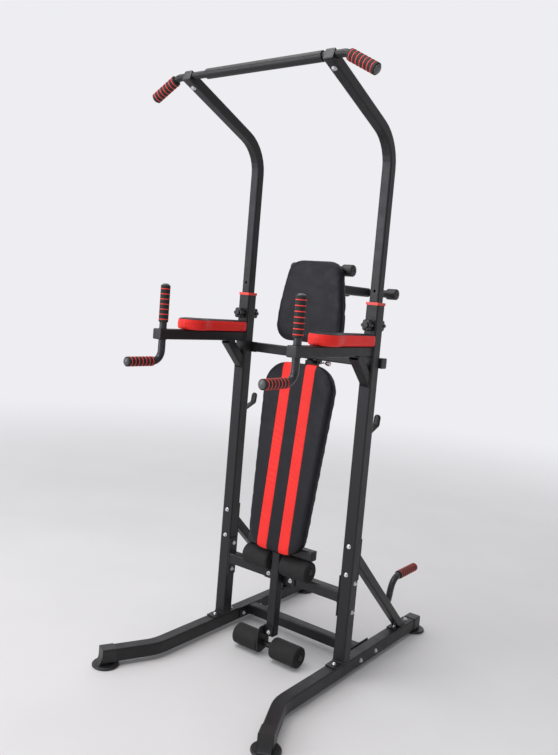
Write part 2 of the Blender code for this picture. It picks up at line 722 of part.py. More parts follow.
def make_backrest_pad(vinyl):
    low, high = BACKREST_PAD
    low_radius = 0.065
    high_radius = 0.065
    low_corner = corner_arcs(((0.088, low + low_radius, low_radius, -90, -3),), 6)
    flank = [(0.1515, 1.366), (0.1455, 1.420), (0.1370, 1.470)]
    high_corner = corner_arcs(((0.062, high - high_radius, high_radius, 12, 90),), 6)
    outline_slab("backrest_pad", mirrored(low_corner + flank + high_corner),
                 lambda x, z: Vector((x, backrest_front(z), z)), (0, BACKREST_THICKNESS, 0), vinyl)


def make_latch_pin(steel):
    y = BACKREST_POST_Y
    knob_x = 0.057
    profile = ((0.0, 0.0006), (0.0, 0.004), (knob_x - 0.0155, 0.004), (knob_x - 0.0145, 0.009),
               (knob_x - 0.006, 0.011), (knob_x + 0.003, 0.009), (knob_x + 0.006, 0.0006))
    turned("bench_latch_pin", profile, (0.0156, y, LATCH_Z), (1, 0, 0), steel, steps=16)


# ---- rear braces and push-up handles ----------------------------------------------------------
def brace_tool(name, size, material, extra=0.06):
    x = UPRIGHT_X
    top = Vector((x, *BRACE_TOP))
    foot = Vector((x, *BRACE_FOOT))
    way = (foot - top).normalized()
    return sweep(name, square_section(size), straight(top - way * extra, foot + way * extra), (1, 0, 0),
                 material)


def make_brace(steel):
    x = UPRIGHT_X
    back = MAIN_TUBE / 2 + GAP
    top = BASE_TOP + GAP
    brace = brace_tool("rear_brace_right", BRACE_TUBE, steel)
    bore = brace_tool("brace_bore", BRACE_TUBE - 2 * WALL, steel, extra=0.08)
    cut(brace, bore)
    cut(brace, box("upright_side", (x - 0.1, -0.2, 0.2), (x + 0.1, back + PLATE - 0.001, 0.8), steel))
    cut(brace, box("base_side", (x - 0.1, 0.2, -0.2), (x + 0.1, 0.8, top + PLATE - 0.001), steel))
    cut(brace, box("above", (x - 0.1, -0.2, 0.62), (x + 0.1, 0.8, 0.9), steel))
    top_plate = box("top_plate", (x - 0.024, back, 0.388), (x + 0.024, back + PLATE, 0.548), steel)
    foot_plate = box("foot_plate", (x - 0.024, 0.400, top), (x + 0.024, 0.552, top + PLATE), steel)
    hole = MAIN_TUBE / 5
    cut(top_plate, box("vent", (x - hole, back - 0.01, 0.452), (x + hole, back + 0.02, 0.474), steel))
    join(brace, top_plate, foot_plate)
    mirror_to_left(brace)


def make_pushup_handle(steel, rubber):
    x = UPRIGHT_X
    route = [(x, y, z) for y, z in PUSHUP_ROUTE]
    stations = rounded_route(route, radius=0.060, step_deg=16.0)
    handle = sweep("pushup_handle_right", round_section(HANDLE_RADIUS), stations, (1, 0, 0), steel)
    inner_stations = [(stations[0][0] - stations[0][1] * 0.01, stations[0][1])] + stations[1:-1]
    inner_stations.append((stations[-1][0] + stations[-1][1] * 0.01, stations[-1][1]))
    cut(handle, brace_tool("brace_room", BRACE_TUBE + 2 * GAP, steel))
    cut(handle, sweep("bore", round_section(HANDLE_RADIUS - WALL), inner_stations, (1, 0, 0), steel))
    mirror_to_left(handle)
    end = Vector(route[-1])
    way = stations[-1][1]
    length = 0.150
    profile = grip_profile(length + 0.0045, GRIP_RADIUS, clear_bore(HANDLE_RADIUS))
    mirror_to_left(turned("pushup_grip_right", profile, end - way * length, way, rubber))


# ---- leg rollers and bench --------------------------------------------------------------------
def make_leg_post(steel):
    """Post bolted to the middle cross tube, its head tube and the bench's two hinge ears."""
    y = LEG_POST_Y
    low, high = LEG_POST
    head_y, head_z = HINGE_HEAD
    half = HINGE_HEAD_HALF
    post = sweep("leg_post", square_section(SLIM_TUBE), straight((0, y, low), (0, y, high + 0.001)),
                 (1, 0, 0), steel)
    join(post, sweep("head", square_section(SLIM_TUBE),
                     straight((-half, head_y, head_z), (half, head_y, head_z)),
                     (0, 0, 1), steel))
    back = MID_Y - CROSS_TUBE / 2 - GAP
    join(post, box("flange", (-0.074, back - 0.0055, 0.300), (0.074, back, 0.336), steel))
    axis_y, axis_z = BENCH_AXIS.y, BENCH_AXIS.z
    for side in (-1, 1):
        inner, outer = sorted((side * 0.030, side * 0.036))
        join(post, box("ear", (inner, axis_y - 0.012, head_z), (outer, axis_y + 0.012, axis_z), steel))
        join(post, rod("ear_top", 0.012, (inner, axis_y, axis_z), (outer, axis_y, axis_z), steel))
        cut(post, rod("hinge_hole", 0.0055, (inner - 0.01, axis_y, axis_z), (outer + 0.01, axis_y, axis_z),
                      steel))
    bore = square_section(SLIM_TUBE - 2 * WALL, radius=CORNER - WALL / 2)
    cut(post, sweep("post_bore", bore, straight((0, y, low - 0.01), (0, y, high - WALL)), (1, 0, 0), steel))
    reach = half + 0.01
    cut(post, sweep("head_bore", bore, straight((-reach, head_y, head_z), (reach, head_y, head_z)),
                    (0, 0, 1), steel))
    axle_y, axle_z = UPPER_AXLE
    cut(post, rod("axle_hole", AXLE_RADIUS + GAP, (-0.05, axle_y, axle_z), (0.05, axle_y, axle_z), steel))


def make_upper_axle(steel):
    y, z = UPPER_AXLE
    rod("upper_roller_axle", AXLE_RADIUS, (-AXLE_HALF, y, z), (AXLE_HALF, y, z), steel)


def make_lower_bracket(steel):
    """Plate on the post's front face, a round-ended lug beside the post and the axle fixed in it."""
    y, z = LOWER_AXLE
    face = LEG_POST_Y - SLIM_TUBE / 2 - GAP
    right = -SLIM_TUBE / 2 - GAP
    left = right - 0.005
    bracket = box("lower_roller_bracket", (left, face - PLATE, 0.088), (0.0175, face, 0.128), steel)
    outline = corner_arcs(((-0.094, 0.046, 0.020, 180, 270), (-0.060, 0.046, 0.020, 270, 360),
                           (-0.060, 0.106, 0.020, 0, 90), (-0.094, 0.106, 0.020, 90, 180)), steps=3)
    join(bracket, outline_slab("lug", outline, lambda along, up: Vector((left, along, up)), (0.005, 0, 0),
                               steel))
    join(bracket, rod("boss", 0.012, (left, y, z), (0.0265, y, z), steel))
    join(bracket, rod("axle", AXLE_RADIUS, (-AXLE_HALF, y, z), (AXLE_HALF, y, z), steel))


def make_roller(name, centre, inner_x, foam):
    y, z = centre
    length = ROLLER_OUTER_X - inner_x
    radius = ROLLER_RADIUS
    inner = AXLE_RADIUS + 0.0005
    profile = ((0.0, inner), (0.0, radius - 0.004), (0.004, radius), (length - 0.004, radius),
               (length, radius - 0.004), (length, inner))
    mirror_to_left(turned(name, profile, (inner_x, y, z), (1, 0, 0), foam, steps=24))


def make_bench_board(vinyl):
    low_end, high_end = BOARD_ENDS
    low_r, high_r = 0.050, 0.103
    low_corner = (0.083, low_end + low_r, low_r, -90, -3)
    high_corner = (0.060, high_end - high_r, high_r, -3, 90)
    outline = mirrored(corner_arcs((low_corner, high_corner), 5))
    depth = in_bench_frame((0, BOARD_THICKNESS, 0)) - BENCH_AXIS
    outline_slab("bench_board", outline, lambda x, z: in_bench_frame((x, BOARD_FACE, z)), depth, vinyl)


def make_bench_frame(steel):
    """Rail under the board with hinge lugs, ears for the folding leg and the latch tab."""
    front = BOARD_FACE + BOARD_THICKNESS + GAP
    back = front + SLIM_TUBE
    half = SLIM_TUBE / 2
    frame = bench_box("bench_frame", (-half, front, 0.050), (half, back, 0.665), steel)
    join(frame, bench_box("cross_plate", (-0.0423, front, 0.022), (0.0423, front + 0.006, 0.120), steel))
    for side in (-1, 1):
        inner, outer = sorted((side * 0.0363, side * 0.0423))
        join(frame, bench_box("lug", (inner, front, -0.010), (outer, 0.010, 0.100), steel))
        axis = BENCH_AXIS
        cut(frame, rod("hinge_hole", 0.0055, (inner - 0.002, axis.y, axis.z),
                       (outer + 0.002, axis.y, axis.z), steel))
        inner, outer = sorted((side * 0.0165, side * 0.0205))
        join(frame, bench_box("leg_ear", (inner, back - 0.001, 0.575), (outer, 0.052, 0.625), steel))
        hub = in_bench_frame(LEG_PIVOT)
        cut(frame, rod("leg_hole", LEG_PIN_RADIUS + GAP, (inner - 0.001, hub.y, hub.z),
                       (outer + 0.001, hub.y, hub.z),
                       steel, steps=12))
    join(frame, box("latch_tab", (-0.015, 0.040, 1.118), (0.015, 0.097, 1.188), steel))
    return cut(frame, bench_box("rail_bore", (-half + WALL, front + WALL, 0.040),
                                (half - WALL, back - WALL, 0.640),
                                steel))


def make_bench_leg(steel):
    """Folding leg with a crossbar foot, lying along the rail while the bench is folded."""
    half = LEG_TUBE / 2
    y, z = LEG_PIVOT.y, LEG_PIVOT.z
    foot = z - (BENCH_AXIS.z - y) + 0.001
    leg = bench_box("bench_leg", (-half, y - half, foot + 0.004), (half, y + half, z), steel)
    hub = in_bench_frame(LEG_PIVOT)
    join(leg, rod("hub", half, hub - Vector((half, 0, 0)), hub + Vector((half, 0, 0)), steel))
    pin = Vector((0.0215, 0, 0))
    join(leg, rod("pivot_pin", LEG_PIN_RADIUS, hub - pin, hub + pin, steel, steps=12))
    join(leg, bench_box("crossbar", (-LEG_FOOT_HALF, y - half, foot),
                        (LEG_FOOT_HALF, y + half, foot + 0.030), steel))
    cut(leg, bench_box("bore", (-half + WALL, y - half + WALL, foot + 0.034),
                       (half - WALL, y + half - WALL, z - 0.020),
                       steel))
    open_end = bench_box("open_side", (-0.008, y + half - WALL - 0.001, foot + 0.060),
                         (0.008, y + half + 0.01, z - 0.060), steel)
    return cut(leg, open_end)


def make_hinge_pin(steel):
    axis = BENCH_AXIS
    rod("bench_hinge_pin", 0.005, (-0.0500, axis.y, axis.z), (0.0500, axis.y, axis.z), steel)


# ---- barbell hooks ----------------------------------------------------------------------------
def make_barbell_hook(steel):
    """Flat bar bent into a J on the back of each upright."""
    x = UPRIGHT_X
    back = MAIN_TUBE / 2 + GAP + 0.0025
    route = ((x, back, 1.004), (x, back, 0.946), (x, 0.092, 0.974), (x, 0.098, 1.014))
    stations = rounded_route(route, radius=0.010, step_deg=25.0)
    section = square_section(0.026, 0.005, radius=0.001, steps=1)
    mirror_to_left(sweep("barbell_hook_right", section, stations, (1, 0, 0), steel))


# ---- assembly ---------------------------------------------------------------------------------
def build():
    clear_scene()
    steel = make_material("black_powder_coat", (0.055, 0.055, 0.060), 0.45, 0.3)
    zinc = make_material("zinc", (0.60, 0.60, 0.62), 0.35, 1.0)
    plastic = make_material("black_plastic", (0.035, 0.035, 0.037), 0.5)
    red = make_material("red_plastic", (0.80, 0.10, 0.07), 0.45)
    rubber = make_material("grip_rubber", (0.04, 0.04, 0.04), 0.8)
    foam = make_material("black_foam", (0.03, 0.03, 0.032), 0.75)
    vinyl = make_material("black_vinyl", (0.05, 0.05, 0.055), 0.5)
    red_vinyl = make_material("red_vinyl", (0.85, 0.12, 0.09), 0.45)

    make_base_tube(steel)
    make_foot_caps(plastic)
    make_cross_tubes(steel)
    make_lower_upright(steel)
    make_collar(red)
    make_knobs(plastic)
    make_upper_upright(steel)
    make_pull_up_bar(steel)
    make_pull_up_grip(rubber)
    make_dip_arm(steel)
    make_dip_handle(steel)
    make_dip_grips(rubber)
    make_arm_pad(red_vinyl)
    make_dip_cross_tube(steel)
    make_backrest_frame(steel)
    make_crossbars(steel, plastic)
    make_backrest_pad(vinyl)
    make_latch_pin(zinc)
    make_brace(steel)
    make_pushup_handle(steel, rubber)
    make_leg_post(steel)
    make_upper_axle(zinc)
    make_lower_bracket(steel)
    make_roller("leg_roller_upper_right", UPPER_AXLE, ROLLER_INNER_X, foam)
    make_roller("leg_roller_lower_right", LOWER_AXLE, ROLLER_INNER_X, foam)
    make_bench_board(vinyl)
    make_bench_frame(steel)
    make_bench_leg(steel)
    make_hinge_pin(zinc)
    make_barbell_hook(steel)


build()
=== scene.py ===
"""Looks of the power tower: covers, grips, rollers, knobs, fasteners, welds, light and camera."""
import json
import math

import bmesh
import bpy
from mathutils import Matrix, Vector, noise


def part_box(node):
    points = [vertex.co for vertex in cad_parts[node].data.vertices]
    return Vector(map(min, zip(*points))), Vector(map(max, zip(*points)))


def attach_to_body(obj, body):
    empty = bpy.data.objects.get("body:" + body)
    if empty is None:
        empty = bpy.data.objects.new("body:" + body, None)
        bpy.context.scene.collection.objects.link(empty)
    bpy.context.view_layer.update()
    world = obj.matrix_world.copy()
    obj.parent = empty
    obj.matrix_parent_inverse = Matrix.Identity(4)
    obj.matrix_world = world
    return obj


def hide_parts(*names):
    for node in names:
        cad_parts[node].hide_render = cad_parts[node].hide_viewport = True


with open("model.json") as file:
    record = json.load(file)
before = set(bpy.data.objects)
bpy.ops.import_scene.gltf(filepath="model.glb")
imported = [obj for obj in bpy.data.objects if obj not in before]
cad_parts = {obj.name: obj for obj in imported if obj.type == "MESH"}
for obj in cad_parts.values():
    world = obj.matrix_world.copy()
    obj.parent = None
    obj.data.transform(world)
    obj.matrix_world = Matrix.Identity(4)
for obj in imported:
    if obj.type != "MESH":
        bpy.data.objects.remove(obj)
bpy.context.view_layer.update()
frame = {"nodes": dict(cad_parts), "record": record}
nodes = frame["nodes"]
scene = bpy.context.scene
SIDES = (("left", -1.0), ("right", 1.0))


# ---- node helpers -----------------------------------------------------------------------------
class Tree:
    """A small wrapper round a material's node tree."""

    def __init__(self, name):
        self.material = bpy.data.materials.new(name)
        self.material.use_nodes = True
        self.nodes = self.material.node_tree.nodes
        self.links = self.material.node_tree.links
        self.shader = self.nodes["Principled BSDF"]
        self.coords = self.nodes.new("ShaderNodeTexCoord").outputs["Object"]

    def link(self, source, target):
        self.links.new(source, target)

    def math(self, operation, first, second=None, clamp=False):
        node = self.nodes.new("ShaderNodeMath")
        node.operation = operation
        node.use_clamp = clamp
        for socket, value in zip(node.inputs, (first, second)):
            if value is None:
                continue
            if isinstance(value, (int, float)):
                socket.default_value = value
            else:
                self.link(value, socket)
        return node.outputs[0]

    def noise(self, scale, detail=3.0, roughness=0.5, stretch=None, turn=(0.0, 0.0, 0.0)):
        node = self.nodes.new("ShaderNodeTexNoise")
        node.inputs["Scale"].default_value = scale
        node.inputs["Detail"].default_value = detail
        node.inputs["Roughness"].default_value = roughness
        source = self.coords
        if stretch:
            mapping = self.nodes.new("ShaderNodeMapping")
            mapping.inputs["Scale"].default_value = stretch
            mapping.inputs["Rotation"].default_value = turn
            self.link(source, mapping.inputs["Vector"])
            source = mapping.outputs[0]
        self.link(source, node.inputs["Vector"])
        return node.outputs["Fac"]

    def cells(self, scale):
        node = self.nodes.new("ShaderNodeTexVoronoi")
        node.inputs["Scale"].default_value = scale
        self.link(self.coords, node.inputs["Vector"])
        return node.outputs["Distance"]

    def ramp(self, source, low, high, from_low=0.3, from_high=0.7):
        node = self.nodes.new("ShaderNodeMapRange")
        node.inputs["From Min"].default_value = from_low
        node.inputs["From Max"].default_value = from_high
        node.inputs["To Min"].default_value = low
        node.inputs["To Max"].default_value = high
        self.link(source, node.inputs["Value"])
        return node.outputs[0]

    def mix(self, factor, first, second):
        node = self.nodes.new("ShaderNodeMix")
        node.data_type = "RGBA"
        for socket, value in ((node.inputs[0], factor), (node.inputs[6], first), (node.inputs[7], second)):
            if isinstance(value, (int, float)):
                socket.default_value = value
            elif isinstance(value, tuple):
                socket.default_value = (*value, 1.0)
            else:
                self.link(value, socket)
        return node.outputs[2]

    def bump(self, height, strength, distance, below=None):
        node = self.nodes.new("ShaderNodeBump")
        node.inputs["Strength"].default_value = strength
        node.inputs["Distance"].default_value = distance
        self.link(height, node.inputs["Height"])
        if below is not None:
            self.link(below, node.inputs["Normal"])
        return node.outputs[0]

    def split(self):
        node = self.nodes.new("ShaderNodeSeparateXYZ")
        self.link(self.coords, node.inputs[0])
        return node.outputs

    def set(self, **values):
        for name, value in values.items():
            socket = self.shader.inputs[name.replace("_", " ")]
            if isinstance(value, (int, float)):
                socket.default_value = value
            elif isinstance(value, tuple):
                socket.default_value = (*value, 1.0) if len(value) == 3 and socket.type == "RGBA" else value
            else:
                self.link(value, socket)
        return self.material


def shade(colour, factor):
    return tuple(min(1.0, channel * factor) for channel in colour)


def coated_metal(name, colour, roughness, grain=0.35, metallic=0.0):
    """Powder coat: orange-peel grain, slight tone drift, scuffs and paler worn edges."""
    tree = Tree(name)
    drift = tree.noise(3.0, 4.0)
    scuffs = tree.noise(60.0, 6.0, 0.65, stretch=(1.0, 1.0, 0.12))
    marks = tree.ramp(scuffs, 0.0, 1.0, 0.60, 0.78)
    base = tree.mix(tree.ramp(drift, 0.0, 1.0), shade(colour, 0.88), shade(colour, 1.12))
    base = tree.mix(tree.math("MULTIPLY", marks, 0.12), base, shade(colour, 1.9))
    edges = tree.nodes.new("ShaderNodeNewGeometry").outputs["Pointiness"]
    rubbed = tree.ramp(edges, 0.0, 1.0, 0.54, 0.66)
    wear = tree.math("MULTIPLY", rubbed, tree.ramp(tree.noise(90.0), 0.0, 0.5))
    base = tree.mix(tree.math("MULTIPLY", wear, 0.5, True), base, shade(colour, 3.0))
    peel = tree.noise(900.0, 2.0)
    flow = tree.noise(120.0, 2.0)
    normal = tree.bump(peel, grain, 0.0004)
    normal = tree.bump(flow, 0.10, 0.0006, normal)
    rough = tree.ramp(tree.noise(25.0, 5.0), roughness - 0.05, roughness + 0.07)
    return tree.set(Base_Color=base, Roughness=rough, Specular_IOR_Level=COAT_SHEEN, Normal=normal,
                    Metallic=metallic)


def bright_metal(name, colour, roughness):
    """Zinc plate or ground steel with fine brushing and dull spots."""
    tree = Tree(name)
    brushing = tree.noise(500.0, 3.0, stretch=(1.0, 1.0, 0.05))
    spots = tree.noise(140.0, 4.0)
    base = tree.mix(tree.ramp(spots, 0.0, 1.0), shade(colour, 0.8), shade(colour, 1.1))
    rough = tree.ramp(spots, roughness, roughness + 0.18)
    return tree.set(Base_Color=base, Roughness=rough, Metallic=1.0, Normal=tree.bump(brushing, 0.15, 0.0003))


def moulded(name, colour, roughness, grain=0.25):
    """Moulded plastic with a fine spark-eroded grain and faint flow marks."""
    tree = Tree(name)
    grit = tree.noise(1400.0, 2.0)
    flow = tree.noise(14.0, 3.0, stretch=(1.0, 1.0, 0.4))
    base = tree.mix(tree.ramp(flow, 0.0, 1.0), shade(colour, 0.85), shade(colour, 1.15))
    rough = tree.ramp(flow, roughness - 0.05, roughness + 0.08)
    return tree.set(Base_Color=base, Roughness=rough, Normal=tree.bump(grit, grain, 0.0004))


def foam_skin(name, colour):
    """Closed-cell foam: pitted, matt, with paler rubbed patches."""
    tree = Tree(name)
    pits = tree.cells(700.0)
    lumps = tree.noise(45.0, 4.0)
    base = tree.mix(tree.ramp(lumps, 0.0, 1.0), shade(colour, 0.8), shade(colour, 1.35))
    normal = tree.bump(pits, 0.5, 0.0008)
    normal = tree.bump(lumps, 0.15, 0.002, normal)
    return tree.set(Base_Color=base, Roughness=tree.ramp(lumps, 0.72, 0.86), Normal=normal)


def vinyl(name, colour, stripes=None, top=None):
    """Upholstery vinyl: pebbled grain and soft creases; stripes is (centre, half width, colour)."""
    tree = Tree(name)
    pebble = tree.cells(520.0)
    drift = tree.noise(7.0, 4.0)
    base = tree.mix(tree.ramp(drift, 0.0, 1.0), shade(colour, 0.90), shade(colour, 1.10))
    crease = tree.noise(16.0, 3.0, 0.5, stretch=(1.0, 1.0, 2.6), turn=(0.0, 0.7, 0.0))
    fold = tree.noise(5.0, 2.0, 0.5, stretch=(0.6, 0.6, 2.2), turn=(0.0, -0.6, 0.0))
    x, _, z = tree.split()
    if stripes:
        centre, half, paint = stripes
        off = tree.math("ABSOLUTE", tree.math("SUBTRACT", tree.math("ABSOLUTE", x), centre))
        inside = tree.math("LESS_THAN", off, half)
        red = tree.mix(tree.ramp(drift, 0.0, 1.0), shade(paint, 0.92), shade(paint, 1.05))
        base = tree.mix(inside, base, red)
        slant = tree.math("ADD", tree.math("MULTIPLY", z, 290.0), tree.math("MULTIPLY", x, 150.0))
        slant = tree.math("ADD", slant, tree.math("MULTIPLY", tree.noise(11.0, 2.0), 22.0))
        wave = tree.math("SINE", slant)
        pucker = tree.math("MULTIPLY", wave, tree.ramp(tree.noise(6.5, 2.0), 0.0, 0.6, 0.42, 0.62))
        crease = tree.math("ADD", crease, tree.math("MULTIPLY", pucker, inside))
    if top:
        height, paint = top
        base = tree.mix(tree.math("GREATER_THAN", z, height), base, paint)
    normal = tree.bump(pebble, 0.18, 0.0006)
    normal = tree.bump(crease, 0.20, 0.004, normal)
    normal = tree.bump(fold, 0.18, 0.010, normal)
    rough = tree.ramp(tree.noise(30.0, 4.0), 0.40, 0.54)
    return tree.set(Base_Color=base, Roughness=rough, Specular_IOR_Level=VINYL_SHEEN, Normal=normal)


def ribbed_rubber(name, colour):
    tree = Tree(name)
    grit = tree.noise(1100.0, 3.0)
    dust = tree.noise(60.0, 5.0)
    base = tree.mix(tree.ramp(dust, 0.0, 1.0, 0.45, 0.75), colour, shade(colour, 1.5))
    rough = tree.ramp(dust, 0.62, 0.78)
    return tree.set(Base_Color=base, Roughness=rough, Normal=tree.bump(grit, 0.4, 0.0004))


COAT = (0.0108, 0.0106, 0.0120)
RED = (0.86, 0.030, 0.024)
SLATE = (0.0110, 0.0110, 0.0150)
WORLD = (0.855, 0.855, 0.885)
VINYL_SHEEN = 0.20      # specular level
COAT_SHEEN = 0.36
black_coat = coated_metal("graphite_powder_coat", COAT, 0.40, grain=0.2)
grey_coat = coated_metal("grey_handle_coat", (0.050, 0.050, 0.056), 0.26, grain=0.08, metallic=0.5)
zinc = bright_metal("zinc_plate", (0.78, 0.78, 0.80), 0.24)
plastic = moulded("black_plastic", (0.010, 0.010, 0.011), 0.42)
grey_plug = moulded("grey_plug", (0.085, 0.085, 0.090), 0.24, grain=0.1)
red_plastic = moulded("red_plastic", (0.80, 0.042, 0.026), 0.36)
red_rubber = moulded("red_rubber", (0.80, 0.040, 0.030), 0.55)
rubber = ribbed_rubber("grip_rubber", (0.010, 0.0095, 0.0095))
foam = foam_skin("black_foam", (0.0075, 0.0075, 0.0080))
dark_vinyl = vinyl("dark_vinyl", SLATE)
bench_vinyl = vinyl("striped_vinyl", SLATE, stripes=(0.0525, 0.0235, RED))
arm_vinyl = vinyl("arm_vinyl", RED, top=(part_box("arm_pad_left")[1][2] - 0.0052, SLATE))
weld_metal = coated_metal("weld_bead", (0.020, 0.020, 0.022), 0.35, grain=0.5)

SLOTS = {
    "black_powder_coat": black_coat, "zinc": zinc, "black_plastic": plastic, "red_plastic": red_plastic,
    "grip_rubber": rubber, "black_foam": foam, "red_vinyl": arm_vinyl, "black_vinyl": dark_vinyl,
}
for part in frame["record"]["subparts"]:
    for material_slot in nodes[part["node"]].material_slots:
        material_slot.material = SLOTS[part["material_slot"]]


# ---- mesh helpers -----------------------------------------------------------------------------
def piece(name, mesh_data, materials, body, stands_for=(), sharp=35.0):
    """Finish a bmesh as a piece that rides on a body and replaces CAD nodes."""
    bmesh.ops.recalc_face_normals(mesh_data, faces=mesh_data.faces)
    mesh = bpy.data.meshes.new(name)
    mesh_data.to_mesh(mesh)
    mesh_data.free()
    for material in materials:
        mesh.materials.append(material)
    mesh.shade_smooth()
    mesh.set_sharp_from_angle(angle=math.radians(sharp))
    item = bpy.data.objects.new(name, mesh)
    scene.collection.objects.link(item)
    return attach(item, body, stands_for)


def attach(item, body, stands_for=()):
    if stands_for:
        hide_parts(*stands_for)
    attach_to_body(item, body)
    return item


def basis(way):
    """Two unit vectors square to a direction."""
    way = Vector(way).normalized()
    side = Vector((1, 0, 0)) if abs(way.x) < 0.7 else Vector((0, 0, 1))
    side = (side - way * side.dot(way)).normalized()
    return side, way.cross(side).normalized()


def skin(mesh_data, rings, slots=None, closed=False):
    pairs = list(zip(rings, rings[1:]))
    if closed:
        pairs.append((rings[-1], rings[0]))
    for number, (ring, following) in enumerate(pairs):
        for index in range(len(ring)):
            after = (index + 1) % len(ring)
            face = mesh_data.faces.new((ring[index], ring[after], following[after], following[index]))
            if slots:
                face.material_index = slots[number]


def turned(mesh_data, profile, start, way, steps=32, slots=None):
    """Add a solid of revolution; profile is (distance, radius) points, ends closed by fans."""
    start = Vector(start)
    way = Vector(way).normalized()
    side, up = basis(way)
    rings = []
    for along, radius in profile:
        centre = start + way * along
        rings.append([mesh_data.verts.new(centre + (side * math.cos(2 * math.pi * k / steps)
                                                    + up * math.sin(2 * math.pi * k / steps)) * radius)
                      for k in range(steps)])
    skin(mesh_data, rings, slots)
    first = mesh_data.faces.new(rings[0])
    last = mesh_data.faces.new(rings[-1])
    if slots:
        first.material_index = slots[0]
        last.material_index = slots[-1]


def prism(mesh_data, outline, start, way, heights, side=None, slot=0):
    """Stack scaled copies of an outline along a direction: heights is (distance, scale) pairs."""
    start = Vector(start)
    way = Vector(way).normalized()
    if side is None:
        side, up = basis(way)
    else:
        side = Vector(side).normalized()
        up = way.cross(side)
    rings = []
    for along, scale in heights:
        centre = start + way * along
        rings.append([mesh_data.verts.new(centre + (side * x + up * y) * scale) for x, y in outline])
    skin(mesh_data, rings)
    faces = [mesh_data.faces.new(rings[0]), mesh_data.faces.new(rings[-1])]
    for face in faces:
        face.material_index = slot


def route(corners, radius, steps=10):
    corners = [Vector(corner) for corner in corners]
    stations = [(corners[0], (corners[1] - corners[0]).normalized())]
    for before, corner, after in zip(corners, corners[1:], corners[2:]):
        arrive = (corner - before).normalized()
        leave = (after - corner).normalized()
        turn = arrive.angle(leave)
        start = corner - arrive * radius * math.tan(turn / 2)
        inward = (leave - arrive * arrive.dot(leave)).normalized()
        centre = start + inward * radius
        for step in range(steps + 1):
            angle = turn * step / steps
            stations.append((centre - inward * radius * math.cos(angle) + arrive * radius * math.sin(angle),
                             arrive * math.cos(angle) + inward * math.sin(angle)))
    stations.append((corners[-1], (corners[-1] - corners[-2]).normalized()))
    return stations


def sweep(mesh_data, section, stations, side, slot=0):
    side = Vector(side)
    rings = []
    for point, way in stations:
        up = way.cross(side).normalized()
        rings.append([mesh_data.verts.new(point + side * x + up * y) for x, y in section])
    start = len(mesh_data.faces)
    skin(mesh_data, rings)
    mesh_data.faces.new(rings[0])
    mesh_data.faces.new(rings[-1])
    mesh_data.faces.ensure_lookup_table()
    for face in mesh_data.faces[start:]:
        face.material_index = slot


def circle(radius, steps=28):
    return [(radius * math.cos(2 * math.pi * k / steps), radius * math.sin(2 * math.pi * k / steps))
            for k in range(steps)]


def square(width, depth=None, radius=0.005, steps=5):
    depth = depth or width
    points = []
    for sign_x, sign_y, start in ((1, 1, 0), (-1, 1, 90), (-1, -1, 180), (1, -1, 270)):
        for step in range(steps + 1):
            angle = math.radians(start + 90 * step / steps)
            points.append((sign_x * (width / 2 - radius) + radius * math.cos(angle),
                           sign_y * (depth / 2 - radius) + radius * math.sin(angle)))
    return points


# ---- dimensions shared with the solids --------------------------------------------------------
UPRIGHT_X = 0.300
KNOB_Z = 1.350
HANDLE_Y, HANDLE_LOW_Z, HANDLE_TOP_Z, HANDLE_FRONT_Y = -0.470, 1.157, 1.434, -0.6355
ARM_Z = 1.256
BAR_Y, BAR_Z, BAR_BEND_X, BAR_END = -0.420, 2.174, 0.355, 0.130
DROP = math.radians(29.0)
RISE = math.radians(21.3)
BENCH_AXIS = Vector((0.0, -0.036, 0.484))
LEAN = Matrix.Rotation(-math.radians(6.2), 3, "X")
BASE_TOP = 0.068
UPPER_AXLE = (-0.047, 0.384)
LOWER_AXLE = (-0.068, 0.049)


# ---- padded covers ----------------------------------------------------------------------------
def arcs(corners, steps=10):
    points = []
    for centre_x, centre_y, radius, start, end in corners:
        for step in range(steps + 1):
            angle = math.radians(start + (end - start) * step / steps)
            points.append((centre_x + radius * math.cos(angle), centre_y + radius * math.sin(angle)))
    return points


def refined(points, step=0.008):
    """Add points so that no piece of the line is longer than a step."""
    finer = [points[0]]
    for start, end in zip(points, points[1:]):
        count = max(1, math.ceil(math.dist(start, end) / step))
        for number in range(1, count + 1):
            share = number / count
            finer.append((start[0] + (end[0] - start[0]) * share, start[1] + (end[1] - start[1]) * share))
    return finer


def inset(outline, amount):
    """Move every point of a closed outline inward along its own normal."""
    count = len(outline)
    area = sum(outline[k][0] * outline[(k + 1) % count][1] - outline[(k + 1) % count][0] * outline[k][1]
               for k in range(count))
    sign = 1.0 if area > 0 else -1.0
    moved = []
    for index, (x, y) in enumerate(outline):
        before, after = outline[index - 1], outline[(index + 1) % count]
        way = Vector((after[0] - before[0], after[1] - before[1])).normalized()
        moved.append((x - way.y * amount * sign, y + way.x * amount * sign))
    return moved


def evaluated(item):
    graph = bpy.context.evaluated_depsgraph_get()
    mesh = bpy.data.meshes.new_from_object(item.evaluated_get(graph))
    item.modifiers.clear()
    item.data = mesh
    return item


